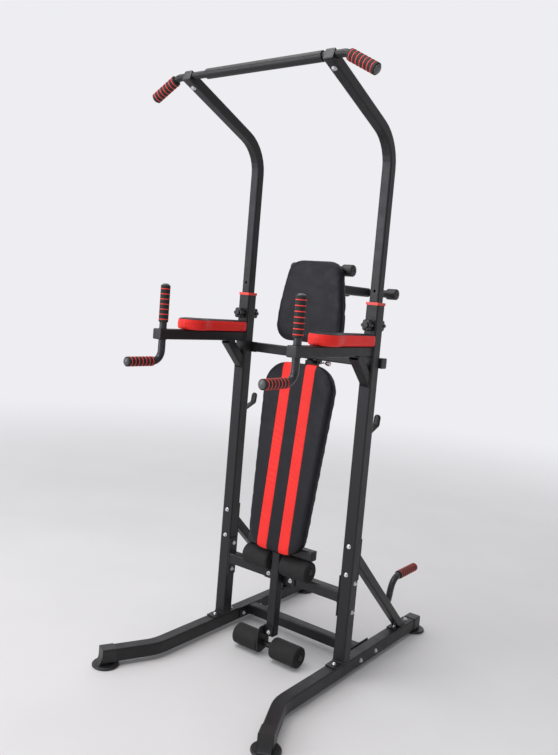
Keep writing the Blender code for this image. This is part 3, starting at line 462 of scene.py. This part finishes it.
def blank(name, right, place, thickness, columns, edge=0.0055):
    """A closed pad of even quads from its right half outline; place(x, y, depth) gives world positions."""
    rows = len(right)
    shares = [1 - 2 * column / columns for column in range(1, columns)]
    loop_line = list(right)
    loop_line += [(right[-1][0] * share, right[-1][1]) for share in shares]
    loop_line += [(-x, y) for x, y in reversed(right)]
    loop_line += [(-right[0][0] * share, right[0][1]) for share in shares]
    straight = thickness - edge
    levels = [(0.0, 0.0040), (0.0012, 0.0012), (0.0040, 0.0)]
    levels += [(0.0040 + (straight - 0.0040) * step / 4, 0.0) for step in range(1, 5)]
    for step in range(1, 5):
        angle = math.pi / 2 * step / 4
        levels.append((straight + edge * math.sin(angle), edge * (1 - math.cos(angle))))
    mesh_data = bmesh.new()
    rings = []
    for depth, shrink in levels:
        line = inset(loop_line, shrink) if shrink else loop_line
        rings.append([mesh_data.verts.new(place(x, y, depth)) for x, y in line])
    skin(mesh_data, rings)
    mesh_data.faces.new(rings[0])
    rim = rings[-1]
    line = inset(loop_line, edge)
    grid = []
    for row in range(rows):
        left = rim[rows + columns - 1 + rows - 1 - row]
        if row == 0:
            middle = [rim[2 * rows + columns - 1 + columns - 1 - column] for column in range(1, columns)]
        elif row == rows - 1:
            middle = [rim[rows + column - 1] for column in range(1, columns)]
        else:
            x, y = line[row]
            middle = [mesh_data.verts.new(place(x * share, y, thickness)) for share in shares]
        grid.append([rim[row], *middle, left])
    for lower, upper in zip(grid, grid[1:]):
        for column in range(columns):
            mesh_data.faces.new((lower[column], lower[column + 1], upper[column + 1], upper[column]))
    bmesh.ops.recalc_face_normals(mesh_data, faces=mesh_data.faces)
    mesh = bpy.data.meshes.new(name)
    mesh_data.to_mesh(mesh)
    mesh_data.free()
    item = bpy.data.objects.new(name, mesh)
    scene.collection.objects.link(item)
    return item


def inflate(item, pinned, forward, rise, spread, pressure=4.0, frames=14):
    """Let the cover swell while its back stays on the board; rise and spread cap the swelling."""
    rest = [vertex.co.copy() for vertex in item.data.vertices]
    group = item.vertex_groups.new(name="board")
    group.add([vertex.index for vertex in item.data.vertices if pinned(vertex.co)], 1.0, "ADD")
    cloth = item.modifiers.new("cloth", "CLOTH")
    settings = cloth.settings
    settings.quality = 4
    settings.mass = 0.3
    settings.tension_stiffness = 15
    settings.compression_stiffness = 15
    settings.shear_stiffness = 10
    settings.bending_stiffness = 0.8
    settings.use_pressure = True
    settings.uniform_pressure_force = pressure
    settings.vertex_group_mass = "board"
    settings.effector_weights.gravity = 0.0
    cloth.point_cache.frame_start = 1
    cloth.point_cache.frame_end = frames
    for number in range(1, frames + 1):
        scene.frame_set(number)
    evaluated(item)
    item.vertex_groups.clear()
    for vertex, start in zip(item.data.vertices, rest):
        shift = vertex.co - start
        outward = shift.dot(forward)
        sideways = shift - forward * outward
        if sideways.length > spread:
            sideways *= spread / sideways.length
        vertex.co = start + sideways + forward * max(-0.0005, min(rise, outward))
    scene.frame_set(1)


def relax(item, steps, keep=None):
    """A few rounds of smoothing."""
    mesh_data = bmesh.new()
    mesh_data.from_mesh(item.data)
    verts = [v for v in mesh_data.verts if keep is None or not keep(v.co)]
    for _ in range(steps):
        bmesh.ops.smooth_vert(mesh_data, verts=verts, factor=0.5,
                              use_axis_x=True, use_axis_y=True, use_axis_z=True)
    mesh_data.to_mesh(item.data)
    mesh_data.free()


def press(item, depth_of):
    """Push every point inward along its normal by depth_of(point, normal)."""
    moves = []
    for vertex in item.data.vertices:
        moves.append(vertex.normal * -depth_of(vertex.co, vertex.normal))
    for vertex, move in zip(item.data.vertices, moves):
        vertex.co += move


def well(distance, width):
    return math.exp(-(distance / width) ** 2)


COVER_CELL = 0.0050         # mesh size of the covers
SIDEWAYS_LIMIT = 0.0004     # furthest a cover's edge swells outward


def cover(name, right, place, thickness, material, body, node, forward, grooves,
          rise=0.0030, columns=36):
    """A padded cover over the CAD pad: blank, swelling, seams, one subdivision."""
    item = blank(name, right, place, thickness - rise * 0.6, columns)
    remesh = item.modifiers.new("remesh", "REMESH")
    remesh.mode = "VOXEL"
    remesh.voxel_size = COVER_CELL
    evaluated(item)
    origin = place(0.0, 0.0, 0.0)
    forward = Vector(forward).normalized()

    def depth(point):
        return (point - origin).dot(forward)

    back = min(depth(vertex.co) for vertex in item.data.vertices)
    relax(item, 3, lambda point: depth(point) < back + 0.002)
    inflate(item, lambda point: depth(point) < back + 0.003, forward, rise,
            SIDEWAYS_LIMIT)
    relax(item, 2, lambda point: depth(point) < back + 0.006)
    finer = item.modifiers.new("finer", "SUBSURF")
    finer.levels = 1
    finer.render_levels = 1
    evaluated(item)
    seam_depth = back + thickness - 0.0105

    def groove(point, normal):
        side_on = 1.0 - abs(normal.dot(forward))
        band = 0.0010 * well(depth(point) - seam_depth, 0.0022) * min(1.0, side_on * 1.5)
        return band + grooves(point, normal)

    press(item, groove)
    item.data.materials.clear()
    item.data.materials.append(material)
    item.data.shade_smooth()
    attach(item, body, (node,))
    return item


def no_grooves(point, normal):
    return 0.0


def crumple(point, scale, amount):
    """Small irregular relief for stretched vinyl."""
    return amount * noise.noise(Vector(point) * scale)


def backrest_outline():
    low_corner = arcs(((0.088, 1.323, 0.065, -90, -3),))
    flank = [(0.1515, 1.366), (0.1455, 1.420), (0.1370, 1.470)]
    return refined(low_corner + flank + arcs(((0.062, 1.512, 0.065, 12, 90),)))


def make_backrest():
    thickness = 0.039
    foot, lean = 0.004 + thickness, 0.055

    def place(x, z, depth):
        return Vector((x, foot + (z - 1.258) * lean - depth, z))

    return cover("backrest_cover", backrest_outline(), place, thickness, dark_vinyl, "frame", "backrest_pad",
                 (0, -1, 0), lambda point, normal: crumple(point, 18.0, 0.0003))


def bench_outline():
    low, high = -0.0520, 0.691
    low_corner = arcs(((0.050, low + 0.083, 0.083, -90, -3),))
    return refined(low_corner + arcs(((0.060, high - 0.103, 0.103, -3, 90),), 14))


def make_bench():
    face, thickness = -0.0572, 0.040

    def place(x, along, depth):
        return BENCH_AXIS + LEAN @ Vector((x, face + thickness - depth, along))

    forward = LEAN @ Vector((0, -1, 0))

    def seams(point, normal):
        facing = max(0.0, normal.dot(forward))
        off = abs(abs(abs(point.x) - 0.0525) - 0.0235)
        ripple = crumple((point.x * 2.0, point.y, point.z * 3.0 + point.x * 6.0), 14.0, 0.0004)
        return (0.0012 * well(off, 0.0022) + ripple) * facing

    return cover("bench_cover", bench_outline(), place, thickness, bench_vinyl, "bench", "bench_board",
                 forward, seams)


def arm_outline():
    head, tail = 0.056, 0.034
    head_y, waist_y, rear_y = -0.318, -0.232, -0.0285
    right = [(head * math.cos(math.radians(a)), head_y + 0.054 * math.sin(math.radians(a)))
             for a in range(-84, 1, 6)]
    for step in range(1, 13):
        blend = (1 + math.cos(math.pi * step / 12)) / 2
        right.append((tail + (head - tail) * blend, head_y + (waist_y - head_y) * step / 12))
    right += [(tail, rear_y - 0.006), (tail - 0.0018, rear_y - 0.0018), (tail - 0.006, rear_y)]
    return refined(right)


def make_arm_pads():
    for side, sign in SIDES:
        lowest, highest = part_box(f"arm_pad_{side}")
        base = lowest[2]
        cover(f"arm_cover_{side}", arm_outline(),
              lambda x, y, depth, sign=sign, base=base: Vector((sign * UPRIGHT_X + x, y, base + depth)),
              highest[2] - base, arm_vinyl, "frame", f"arm_pad_{side}", (0, 0, 1), no_grooves,
              rise=0.0022, columns=14)


# ---- grips ------------------------------------------------------------------------------------
def grip(name, start, way, length, radius, rings, body, node, pitch=None):
    """Ribbed sleeve with raised red rings and a rounded grey plug."""
    band, step_up, groove = 0.0024, 0.0005, -0.0002
    usable = length - 0.012
    pitch = pitch or usable / rings
    lead = (usable - pitch * (rings - 1)) / 2 + 0.001
    profile = [(0.0, radius - 0.0045), (0.0, radius - 0.0018), (0.0016, radius - step_up)]
    slots = [0, 0]
    for number in range(rings):
        middle = lead + number * pitch
        for offset, lift in ((-band / 2 - 0.0005, groove), (-band / 2, step_up), (band / 2, step_up),
                             (band / 2 + 0.0005, groove)):
            profile.append((middle + offset, radius - step_up + lift))
        slots += [0, 1, 1, 1]
    shoulder = length - 0.0085
    profile += [(shoulder, radius - step_up), (shoulder + 0.002, radius - 0.0025),
                (shoulder + 0.0022, radius - 0.0042), (shoulder + 0.004, radius - 0.0044),
                (length - 0.0022, radius * 0.62), (length - 0.0006, radius * 0.34), (length, radius * 0.08)]
    slots += [0, 0, 0, 2, 2, 2, 2]
    mesh_data = bmesh.new()
    turned(mesh_data, profile, start, way, 36, slots)
    return piece(name, mesh_data, (rubber, red_rubber, grey_plug), body, (node,))


def make_grips():
    sleeve = 0.018
    for side, sign in SIDES:
        x = sign * UPRIGHT_X
        upper = 1.299
        grip(f"upper_dip_grip_{side}", (x, HANDLE_Y, upper), (0, 0, 1), HANDLE_TOP_Z + 0.0045 - upper,
             sleeve, 7, "frame", f"dip_grip_upper_{side}")
        lower = HANDLE_Y - 0.041
        grip(f"lower_dip_grip_{side}", (x, lower, HANDLE_LOW_Z), (0, -1, 0), lower - HANDLE_FRONT_Y + 0.0045,
             sleeve, 7, "frame", f"dip_grip_lower_{side}")
        way = Vector((sign * math.cos(DROP), 0, -math.sin(DROP)))
        start = Vector((sign * BAR_BEND_X, BAR_Y, BAR_Z)) + way * 0.0145
        grip(f"bar_grip_{side}", start, way, BAR_END - 0.010, 0.0195, 7, "sliding_top",
             f"pull_up_grip_{side}")
        lowest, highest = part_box(f"pushup_grip_{side}")
        centre_z = (lowest[2] + highest[2]) / 2
        grip(f"floor_grip_{side}", (x, lowest[1], centre_z), (0, 1, 0), highest[1] - lowest[1],
             sleeve, 8, "frame", f"pushup_grip_{side}")


def make_handles():
    for side, sign in SIDES:
        x = sign * UPRIGHT_X
        mesh_data = bmesh.new()
        stations = route(((x, HANDLE_Y, HANDLE_TOP_Z - 0.004), (x, HANDLE_Y, HANDLE_LOW_Z),
                          (x, HANDLE_FRONT_Y + 0.004, HANDLE_LOW_Z)), 0.040)
        sweep(mesh_data, circle(0.0135), stations, (1, 0, 0))
        piece(f"dip_handle_tube_{side}", mesh_data, (grey_coat,), "frame",
              (f"dip_handle_{side}",))
        mesh_data = bmesh.new()
        stations = route(((x, 0.341, 0.211), (x, 0.368, 0.304), (x, 0.558, 0.304)), 0.060)
        sweep(mesh_data, circle(0.0135), stations, (1, 0, 0))
        piece(f"floor_handle_tube_{side}", mesh_data, (grey_coat,), "frame",
              (f"pushup_handle_{side}",))


# ---- rollers, knobs, bumpers, hooks -----------------------------------------------------------
def neck_end():
    """The point of the right forward arm's centre line that is nearest to the bar."""
    corner = Vector((UPRIGHT_X, 0, 1.909 + 0.140 * math.tan(math.radians(90 - 21.3) / 2)))
    way = Vector((0, -math.cos(RISE), math.sin(RISE)))
    return corner + way * (Vector((UPRIGHT_X, BAR_Y, BAR_Z)) - corner).dot(way), way


def make_bar():
    """Round bar through both forward arms, its thick middle and the plugged arm ends."""
    mesh_data = bmesh.new()
    reach = Vector((math.cos(DROP), 0, -math.sin(DROP))) * (BAR_END - 0.003)
    right = Vector((BAR_BEND_X, BAR_Y, BAR_Z))
    left = Vector((-BAR_BEND_X, BAR_Y, BAR_Z))
    stations = route((left + Vector((-reach.x, 0, reach.z)), left, right, right + reach), 0.045)
    sweep(mesh_data, circle(0.0125), stations, (0, 1, 0))
    low, high, radius = -0.217, 0.270, 0.0175
    profile = [(0.0, 0.0130), (0.0, radius - 0.0015), (0.0015, radius), (high - low - 0.0015, radius),
               (high - low, radius - 0.0015), (high - low, 0.0130)]
    turned(mesh_data, profile, (low, BAR_Y, BAR_Z), (1, 0, 0), 40)
    end, way = neck_end()
    for sign in (-1, 1):
        centre = Vector((sign * end.x, end.y, end.z))
        heights = ((-0.0165, 1.0), (0.0125, 1.0), (0.0135, 0.96))
        prism(mesh_data, square(0.038), centre, way, heights, side=(1, 0, 0))
        plug(mesh_data, centre + way * 0.0118, way, 0.0372, side=(1, 0, 0), slot=1)
    piece("pull_up_bar_tube", mesh_data, (black_coat, plastic), "sliding_top",
          ("pull_up_bar",))


def make_rollers():
    for level, (y, z) in (("upper", UPPER_AXLE), ("lower", LOWER_AXLE)):
        for side, sign in SIDES:
            inner, outer, radius = 0.029, 0.156, 0.042
            length = outer - inner
            profile = [(0.0015, 0.0075), (0.0, 0.0110), (0.0, radius - 0.0100), (0.0012, radius - 0.0050),
                       (0.0040, radius - 0.0016), (0.0090, radius - 0.0002)]
            count = 16
            for step in range(1, count):
                along = 0.009 + (length - 0.018) * step / count
                profile.append((along, radius - 0.0002 + 0.0003 * math.sin(step * 2.4)))
            profile += [(length - 0.0090, radius - 0.0002), (length - 0.0040, radius - 0.0016),
                        (length - 0.0012, radius - 0.0050), (length, radius - 0.0100), (length, 0.0150),
                        (length - 0.004, 0.0135), (length - 0.005, 0.0075)]
            mesh_data = bmesh.new()
            turned(mesh_data, profile, (sign * inner, y, z), (sign, 0, 0), 48)
            piece(f"foam_roller_{level}_{side}", mesh_data, (foam,), f"leg_roller_{level}_{side}",
                  (f"leg_roller_{level}_{side}",))


def star(radius, lobes=6, depth=0.22, steps=84):
    points = []
    for step in range(steps):
        angle = 2 * math.pi * step / steps
        wave = 0.5 + 0.5 * math.cos(lobes * angle)
        reach = radius * (1 - depth + depth * wave ** 0.7)
        points.append((reach * math.cos(angle), reach * math.sin(angle)))
    return points


def make_knobs():
    for side, sign in SIDES:
        for kind, facing, base, tip in (("pull_pin", -1, 0.0385, 0.0196), ("clamp_knob", 1, 0.0355, 0.0196)):
            x = sign * UPRIGHT_X
            mesh_data = bmesh.new()
            start = Vector((x, facing * base, KNOB_Z))
            way = Vector((0, facing, 0))
            heights = ((0.0, 0.90), (0.0012, 0.965), (0.0035, 1.0), (0.0150, 1.0), (0.0180, 0.965),
                       (0.0195, 0.90), (0.0200, 0.72))
            prism(mesh_data, star(0.0222), start, way, heights, side=(1, 0, 0))
            hub = [(0.0190, 0.0128), (0.0255, 0.0120), (0.0268, 0.0104), (0.0270, 0.0020)]
            turned(mesh_data, hub, start, way, 28)
            neck = [(-0.0005, 0.0100), (0.0005, 0.0100)]
            turned(mesh_data, neck, start, way, 24)
            shank = [(0.0, 0.0048), (base - tip + 0.002, 0.0048)]
            turned(mesh_data, shank, (x, facing * tip, KNOB_Z), way, 16, [1])
            piece(f"{kind}_star_{side}", mesh_data, (plastic, zinc), f"{kind}_{side}",
                  (f"{kind}_{side}",))


def make_bumpers():
    for place, (y, z) in (("upper", (0.0830, 1.548)), ("rear", (0.450, 1.478))):
        for side, sign in SIDES:
            radius, length = 0.023, 0.047
            profile = [(0.0, 0.0175), (0.0, radius - 0.0022), (0.0022, radius - 0.0004), (0.004, radius),
                       (length - 0.0050, radius), (length - 0.0018, radius - 0.0016),
                       (length, radius - 0.0052), (length - 0.0006, 0.0060), (length - 0.0022, 0.0040)]
            mesh_data = bmesh.new()
            turned(mesh_data, profile, (sign * (0.144 - length), y, z), (sign, 0, 0), 40)
            piece(f"{place}_end_cap_{side}", mesh_data, (plastic,), "frame",
                  (f"{place}_bumper_{side}",))


def make_hooks():
    """Strip bent into a J whose free end is a half circle."""
    for side, sign in SIDES:
        x = sign * UPRIGHT_X
        back = 0.0278
        stations = route(((x, back, 1.004), (x, back, 0.946), (x, 0.092, 0.974), (x, 0.098, 1.014)), 0.010, 6)
        mesh_data = bmesh.new()
        half, thick = 0.0130, 0.0025
        rings = []
        tail = []
        end, way = stations[-1]
        for step in range(7):
            angle = math.radians(90 * step / 6)
            tail.append((end - way * half * (1 - math.sin(angle)), way, half * math.cos(angle)))
        body = [(point, direction, half) for point, direction in stations[:-1]] + tail
        for point, direction, width in body:
            up = direction.cross(Vector((1, 0, 0))).normalized()
            width = max(width, 0.0012)
            corners = ((-width, -thick), (-width + 0.0008, -thick - 0.0004),
                       (width - 0.0008, -thick - 0.0004), (width, -thick), (width, thick),
                       (width - 0.0008, thick + 0.0003), (-width + 0.0008, thick + 0.0003), (-width, thick))
            rings.append([mesh_data.verts.new(point + Vector((1, 0, 0)) * a + up * b) for a, b in corners])
        skin(mesh_data, rings)
        mesh_data.faces.new(rings[0])
        mesh_data.faces.new(rings[-1])
        piece(f"barbell_rest_{side}", mesh_data, (black_coat,), "frame",
              (f"barbell_hook_{side}",))


# ---- fasteners, plugs and welds ---------------------------------------------------------------
HEX = [(math.cos(math.radians(60 * k)), math.sin(math.radians(60 * k))) for k in range(6)]


def bolt(mesh_data, point, way, size=0.008, domed=True):
    """Washer and head standing on a face."""
    point = Vector(point)
    way = Vector(way).normalized()
    washer = [(-0.0003, size * 1.05), (0.0014, size * 1.05), (0.0017, size * 0.98)]
    turned(mesh_data, washer, point, way, 24)
    across = size * 0.80
    hexagon = [(x * across, y * across) for x, y in HEX]
    head = ((0.0, 0.96), (0.0006, 1.0), (0.0042, 1.0), (0.0054, 0.86))
    prism(mesh_data, hexagon, point + way * 0.0014, way, head)
    if domed:
        dome = [(0.0060, size * 0.50), (0.0072, size * 0.46), (0.0084, size * 0.30), (0.0087, size * 0.06)]
        turned(mesh_data, dome, point, way, 16)


def make_fasteners():
    mesh_data = bmesh.new()
    low_z = 0.042
    outer_face, inner_face = 0.325, 0.2707
    for _, sign in SIDES:
        x = sign * UPRIGHT_X
        out = Vector((sign, 0, 0))
        for z in (0.523, 0.414):
            bolt(mesh_data, (x, -0.025, z), (0, -1, 0), domed=False)
            bolt(mesh_data, (x, 0.0293, z), (0, 1, 0))
        for z in (0.3813, 0.2685):
            bolt(mesh_data, (sign * outer_face, 0, z), out, domed=False)
            bolt(mesh_data, (sign * inner_face, -0.001, z), -out)
        for y in (0.1075, 0.2250):
            bolt(mesh_data, (sign * outer_face, y, low_z), out, domed=False)
            bolt(mesh_data, (sign * inner_face, y, low_z), -out)
        for y in (-0.050, 0.050, 0.424, 0.528):
            bolt(mesh_data, (x, y, BASE_TOP + 0.0043), (0, 0, 1))
        bolt(mesh_data, (sign * 0.054, -0.0308, 0.3185), (0, -1, 0))
    bolt(mesh_data, (0.0, -0.0723, 0.1020), (0, -1, 0))
    bolt(mesh_data, (-0.0248, -0.0600, 0.1080), (-1, 0, 0), size=0.0065)
    piece("frame_fasteners", mesh_data, (zinc,), "frame", sharp=30)
    mesh_data = bmesh.new()
    end, way = neck_end()
    under = Vector((0, -math.sin(RISE), -math.cos(RISE)))
    for sign in (-1, 1):
        point = Vector((sign * end.x, end.y, end.z)) - way * 0.0310 + under * 0.0190
        turned(mesh_data, [(-0.0003, 0.0100), (0.0014, 0.0100), (0.0018, 0.0094)], point, under, 28)
        profile = [(0.0015, 0.0068), (0.0050, 0.0068), (0.0062, 0.0058), (0.0062, 0.0034), (0.0030, 0.0030)]
        turned(mesh_data, profile, point, under, 24)
    piece("top_fasteners", mesh_data, (zinc,), "sliding_top", sharp=30)


def plug(mesh_data, point, way, size, side=None, proud=0.0030, radius=0.005, slot=0):
    """Push-in end plug with a pillowed face."""
    heights = ((-0.0100, 0.90), (0.0002, 0.90), (0.0002, 1.0), (proud * 0.6, 1.0), (proud * 0.9, 0.965),
               (proud, 0.90), (proud * 1.12, 0.60))
    start = len(mesh_data.faces)
    prism(mesh_data, square(size, radius=radius), point, way, heights, side=side)
    mesh_data.faces.ensure_lookup_table()
    for face in mesh_data.faces[start:]:
        face.material_index = slot


def make_plugs():
    mesh_data = bmesh.new()
    cap_size = 0.0386   # a little wider than the 38 mm tubes it closes
    axle_cap = [(0.1515, 0.0125), (0.1560, 0.0125), (0.1585, 0.0100), (0.1592, 0.0020)]
    for side, sign in SIDES:
        arm_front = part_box(f"dip_arm_{side}")[0][1]
        plug(mesh_data, (sign * UPRIGHT_X, arm_front, ARM_Z), (0, -1, 0), cap_size, side=(1, 0, 0))
        plug(mesh_data, (sign * 0.331, 0.0443, 1.213), (sign, 0, 0), cap_size, side=(0, 0, 1))
        plug(mesh_data, (sign * 0.153, -0.034, 0.447), (sign, 0, 0), cap_size, side=(0, 0, 1))
        for y, z in (UPPER_AXLE, LOWER_AXLE):
            turned(mesh_data, axle_cap, (0, y, z), (sign, 0, 0), 28)
    plug(mesh_data, (0, -0.049, 0.088), (0, 0, -1), cap_size, side=(1, 0, 0))
    plug(mesh_data, (0, 0.083, 1.568), (0, 0, 1), cap_size, side=(1, 0, 0))
    piece("frame_end_plugs", mesh_data, (plastic,), "frame", sharp=30)


def weld(mesh_data, points, radius=0.0022):
    """A rippled bead along a closed loop of points."""
    points = [Vector(point) for point in points]
    count = len(points)
    rings = []
    steps = 6
    for index, point in enumerate(points):
        way = (points[(index + 1) % count] - points[index - 1]).normalized()
        side, up = basis(way)
        size = radius * (1.0 + 0.25 * math.sin(index * 2.1))
        rings.append([mesh_data.verts.new(point + (side * math.cos(2 * math.pi * k / steps)
                                                   + up * math.sin(2 * math.pi * k / steps)) * size)
                      for k in range(steps)])
    skin(mesh_data, rings, closed=True)


def loop(centre, side, up, width, depth, radius=0.005, round_steps=4, straight=6):
    """Points round a rounded rectangle in the plane of two vectors."""
    outline = square(width, depth, radius, round_steps)
    points = []
    for index, (x, y) in enumerate(outline):
        after = outline[(index + 1) % len(outline)]
        points.append((x, y))
        if math.hypot(after[0] - x, after[1] - y) > 0.008:
            for step in range(1, straight):
                share = step / straight
                points.append((x + (after[0] - x) * share, y + (after[1] - y) * share))
    return [Vector(centre) + Vector(side) * x + Vector(up) * y for x, y in points]


def make_welds():
    mesh_data = bmesh.new()
    flange_x = 0.2700
    for _, sign in SIDES:
        x = sign * UPRIGHT_X
        weld(mesh_data, loop((x, -0.0262, ARM_Z), (1, 0, 0), (0, 0, 1), 0.039, 0.039))
        weld(mesh_data, loop((x, -0.0262, 1.1515), (1, 0, 0), (0, 0, 1), 0.039, 0.053))
        weld(mesh_data, loop((x, -0.1080, ARM_Z - 0.0197), (1, 0, 0), (0, 1, 0), 0.039, 0.053))
        weld(mesh_data, loop((x, 0.0, 0.0736), (1, 0, 0), (0, 1, 0), 0.0495, 0.051))
        weld(mesh_data, loop((sign * flange_x, -0.003, 0.3205), (0, 1, 0), (0, 0, 1), 0.0445, 0.0445))
        weld(mesh_data, loop((sign * flange_x, 0.165, 0.048), (0, 1, 0), (0, 0, 1), 0.0445, 0.0445))
        weld(mesh_data, loop((x, 0.0302, 0.4690), (1, 0, 0), (0, 0, 1), 0.0365, 0.0500))
        weld(mesh_data, loop((x, 0.4650, 0.0735), (1, 0, 0), (0, 1, 0), 0.0365, 0.0530))
        for z in (ARM_Z - 0.0195, ARM_Z + 0.0195):
            weld(mesh_data, loop((x, HANDLE_Y, z), (1, 0, 0), (0, 1, 0), 0.0275, 0.0275, 0.0137, 8), 0.0014)
        weld(mesh_data, loop((sign * 0.275, 0.0255, 1.213), (1, 0, 0), (0, 0, 1), 0.0480, 0.0385), 0.0016)
    weld(mesh_data, loop((0, -0.049, 0.4270), (1, 0, 0), (0, 1, 0), 0.0385, 0.0385), 0.0018)
    weld(mesh_data, loop((0, 0.1025, 1.478), (1, 0, 0), (0, 0, 1), 0.0385, 0.0385), 0.0018)
    weld(mesh_data, loop((0, 0.4335, 1.478), (1, 0, 0), (0, 0, 1), 0.0360, 0.0200), 0.0018)
    piece("frame_weld_beads", mesh_data, (weld_metal,), "frame", sharp=80)


# ---- stage, light and camera ------------------------------------------------------------------
def make_floor():
    mesh_data = bmesh.new()
    angles = [2 * math.pi * k / 64 for k in range(64)]
    rings = [[mesh_data.verts.new((radius * math.cos(angle), radius * math.sin(angle), 0.0))
              for angle in angles] for radius in (0.5, 3.0, 9.0, 40.0)]
    skin(mesh_data, rings)
    mesh_data.faces.new(rings[0])
    bmesh.ops.recalc_face_normals(mesh_data, faces=mesh_data.faces)
    mesh = bpy.data.meshes.new("studio_floor")
    mesh_data.to_mesh(mesh)
    mesh_data.free()
    tree = Tree("studio_floor")
    length = tree.nodes.new("ShaderNodeVectorMath")
    length.operation = "LENGTH"
    tree.link(tree.coords, length.inputs[0])
    fade = tree.nodes.new("ShaderNodeMapRange")
    fade.interpolation_type = "SMOOTHSTEP"
    fade.inputs["From Min"].default_value = 1.6
    fade.inputs["From Max"].default_value = 7.0
    tree.link(length.outputs["Value"], fade.inputs["Value"])
    glow = tree.nodes.new("ShaderNodeEmission")
    glow.inputs["Color"].default_value = (*WORLD, 1.0)
    glow.inputs["Strength"].default_value = 1.0
    blend = tree.nodes.new("ShaderNodeMixShader")
    tree.link(fade.outputs[0], blend.inputs[0])
    tree.link(tree.shader.outputs[0], blend.inputs[1])
    tree.link(glow.outputs[0], blend.inputs[2])
    tree.link(blend.outputs[0], tree.nodes["Material Output"].inputs["Surface"])
    tone = tree.mix(tree.ramp(tree.noise(1.5, 5.0), 0.0, 1.0), (0.66, 0.65, 0.65), (0.70, 0.69, 0.69))
    tree.set(Base_Color=tone, Roughness=0.6)
    mesh.materials.append(tree.material)
    floor = bpy.data.objects.new("studio_floor", mesh)
    floor.location.z = -0.0005
    scene.collection.objects.link(floor)


def add_light(name, place, target, width, height, power, colour):
    lamp = bpy.data.lights.new(name, "AREA")
    lamp.shape = "RECTANGLE"
    lamp.size = width
    lamp.size_y = height
    lamp.energy = power
    lamp.color = colour
    item = bpy.data.objects.new(name, lamp)
    item.location = place
    item.rotation_euler = (Vector(target) - Vector(place)).to_track_quat("-Z", "Y").to_euler()
    scene.collection.objects.link(item)


def make_light():
    """A pale room that is dimmer towards +X, so the right-hand faces fall darker."""
    world = bpy.data.worlds.new("studio")
    world.use_nodes = True
    tree = world.node_tree
    background = tree.nodes["Background"]
    coords = tree.nodes.new("ShaderNodeTexCoord")
    split = tree.nodes.new("ShaderNodeSeparateXYZ")
    tree.links.new(coords.outputs["Generated"], split.inputs[0])
    fade = tree.nodes.new("ShaderNodeMapRange")
    fade.interpolation_type = "SMOOTHSTEP"
    fade.inputs["From Min"].default_value = 0.10
    fade.inputs["From Max"].default_value = 0.75
    fade.inputs["To Min"].default_value = 1.0
    fade.inputs["To Max"].default_value = 0.30
    tree.links.new(split.outputs["X"], fade.inputs["Value"])
    background.inputs["Color"].default_value = (*WORLD, 1.0)
    tree.links.new(fade.outputs[0], background.inputs["Strength"])
    scene.world = world
    add_light("overhead_softbox", (-0.6, -1.4, 4.2), (0, 0, 0.9), 3.0, 2.4, 70, (1.0, 0.99, 0.97))
    add_light("front_softbox", (-2.2, -4.0, 2.2), (0, 0, 1.1), 2.0, 2.4, 70, (0.94, 0.96, 1.0))
    scene.view_settings.view_transform = "Standard"
    scene.view_settings.look = "None"


def make_camera():
    yaw, pitch, roll = (math.radians(angle) for angle in (36.43, 5.79, 4.84))
    ahead = Vector((-math.sin(yaw) * math.cos(pitch), math.cos(yaw) * math.cos(pitch), -math.sin(pitch)))
    level = ahead.cross(Vector((0, 0, 1))).normalized()
    above = level.cross(ahead)
    right = level * math.cos(roll) + above * math.sin(roll)
    up = above * math.cos(roll) - level * math.sin(roll)
    camera = bpy.data.cameras.new("camera")
    camera.sensor_fit = "HORIZONTAL"
    camera.sensor_width = 36.0
    camera.lens = 47.98
    camera.dof.use_dof = False
    item = bpy.data.objects.new("camera", camera)
    turn = Matrix((right, up, -ahead)).transposed().to_4x4()
    item.matrix_world = Matrix.Translation((1.6496, -2.3804, 1.4065)) @ turn
    scene.collection.objects.link(item)
    scene.camera = item


make_camera()
make_light()
make_floor()
make_backrest()
make_bench()
make_arm_pads()
make_grips()
make_handles()
make_bar()
make_rollers()
make_knobs()
make_bumpers()
make_hooks()
make_fasteners()
make_plugs()
make_welds()
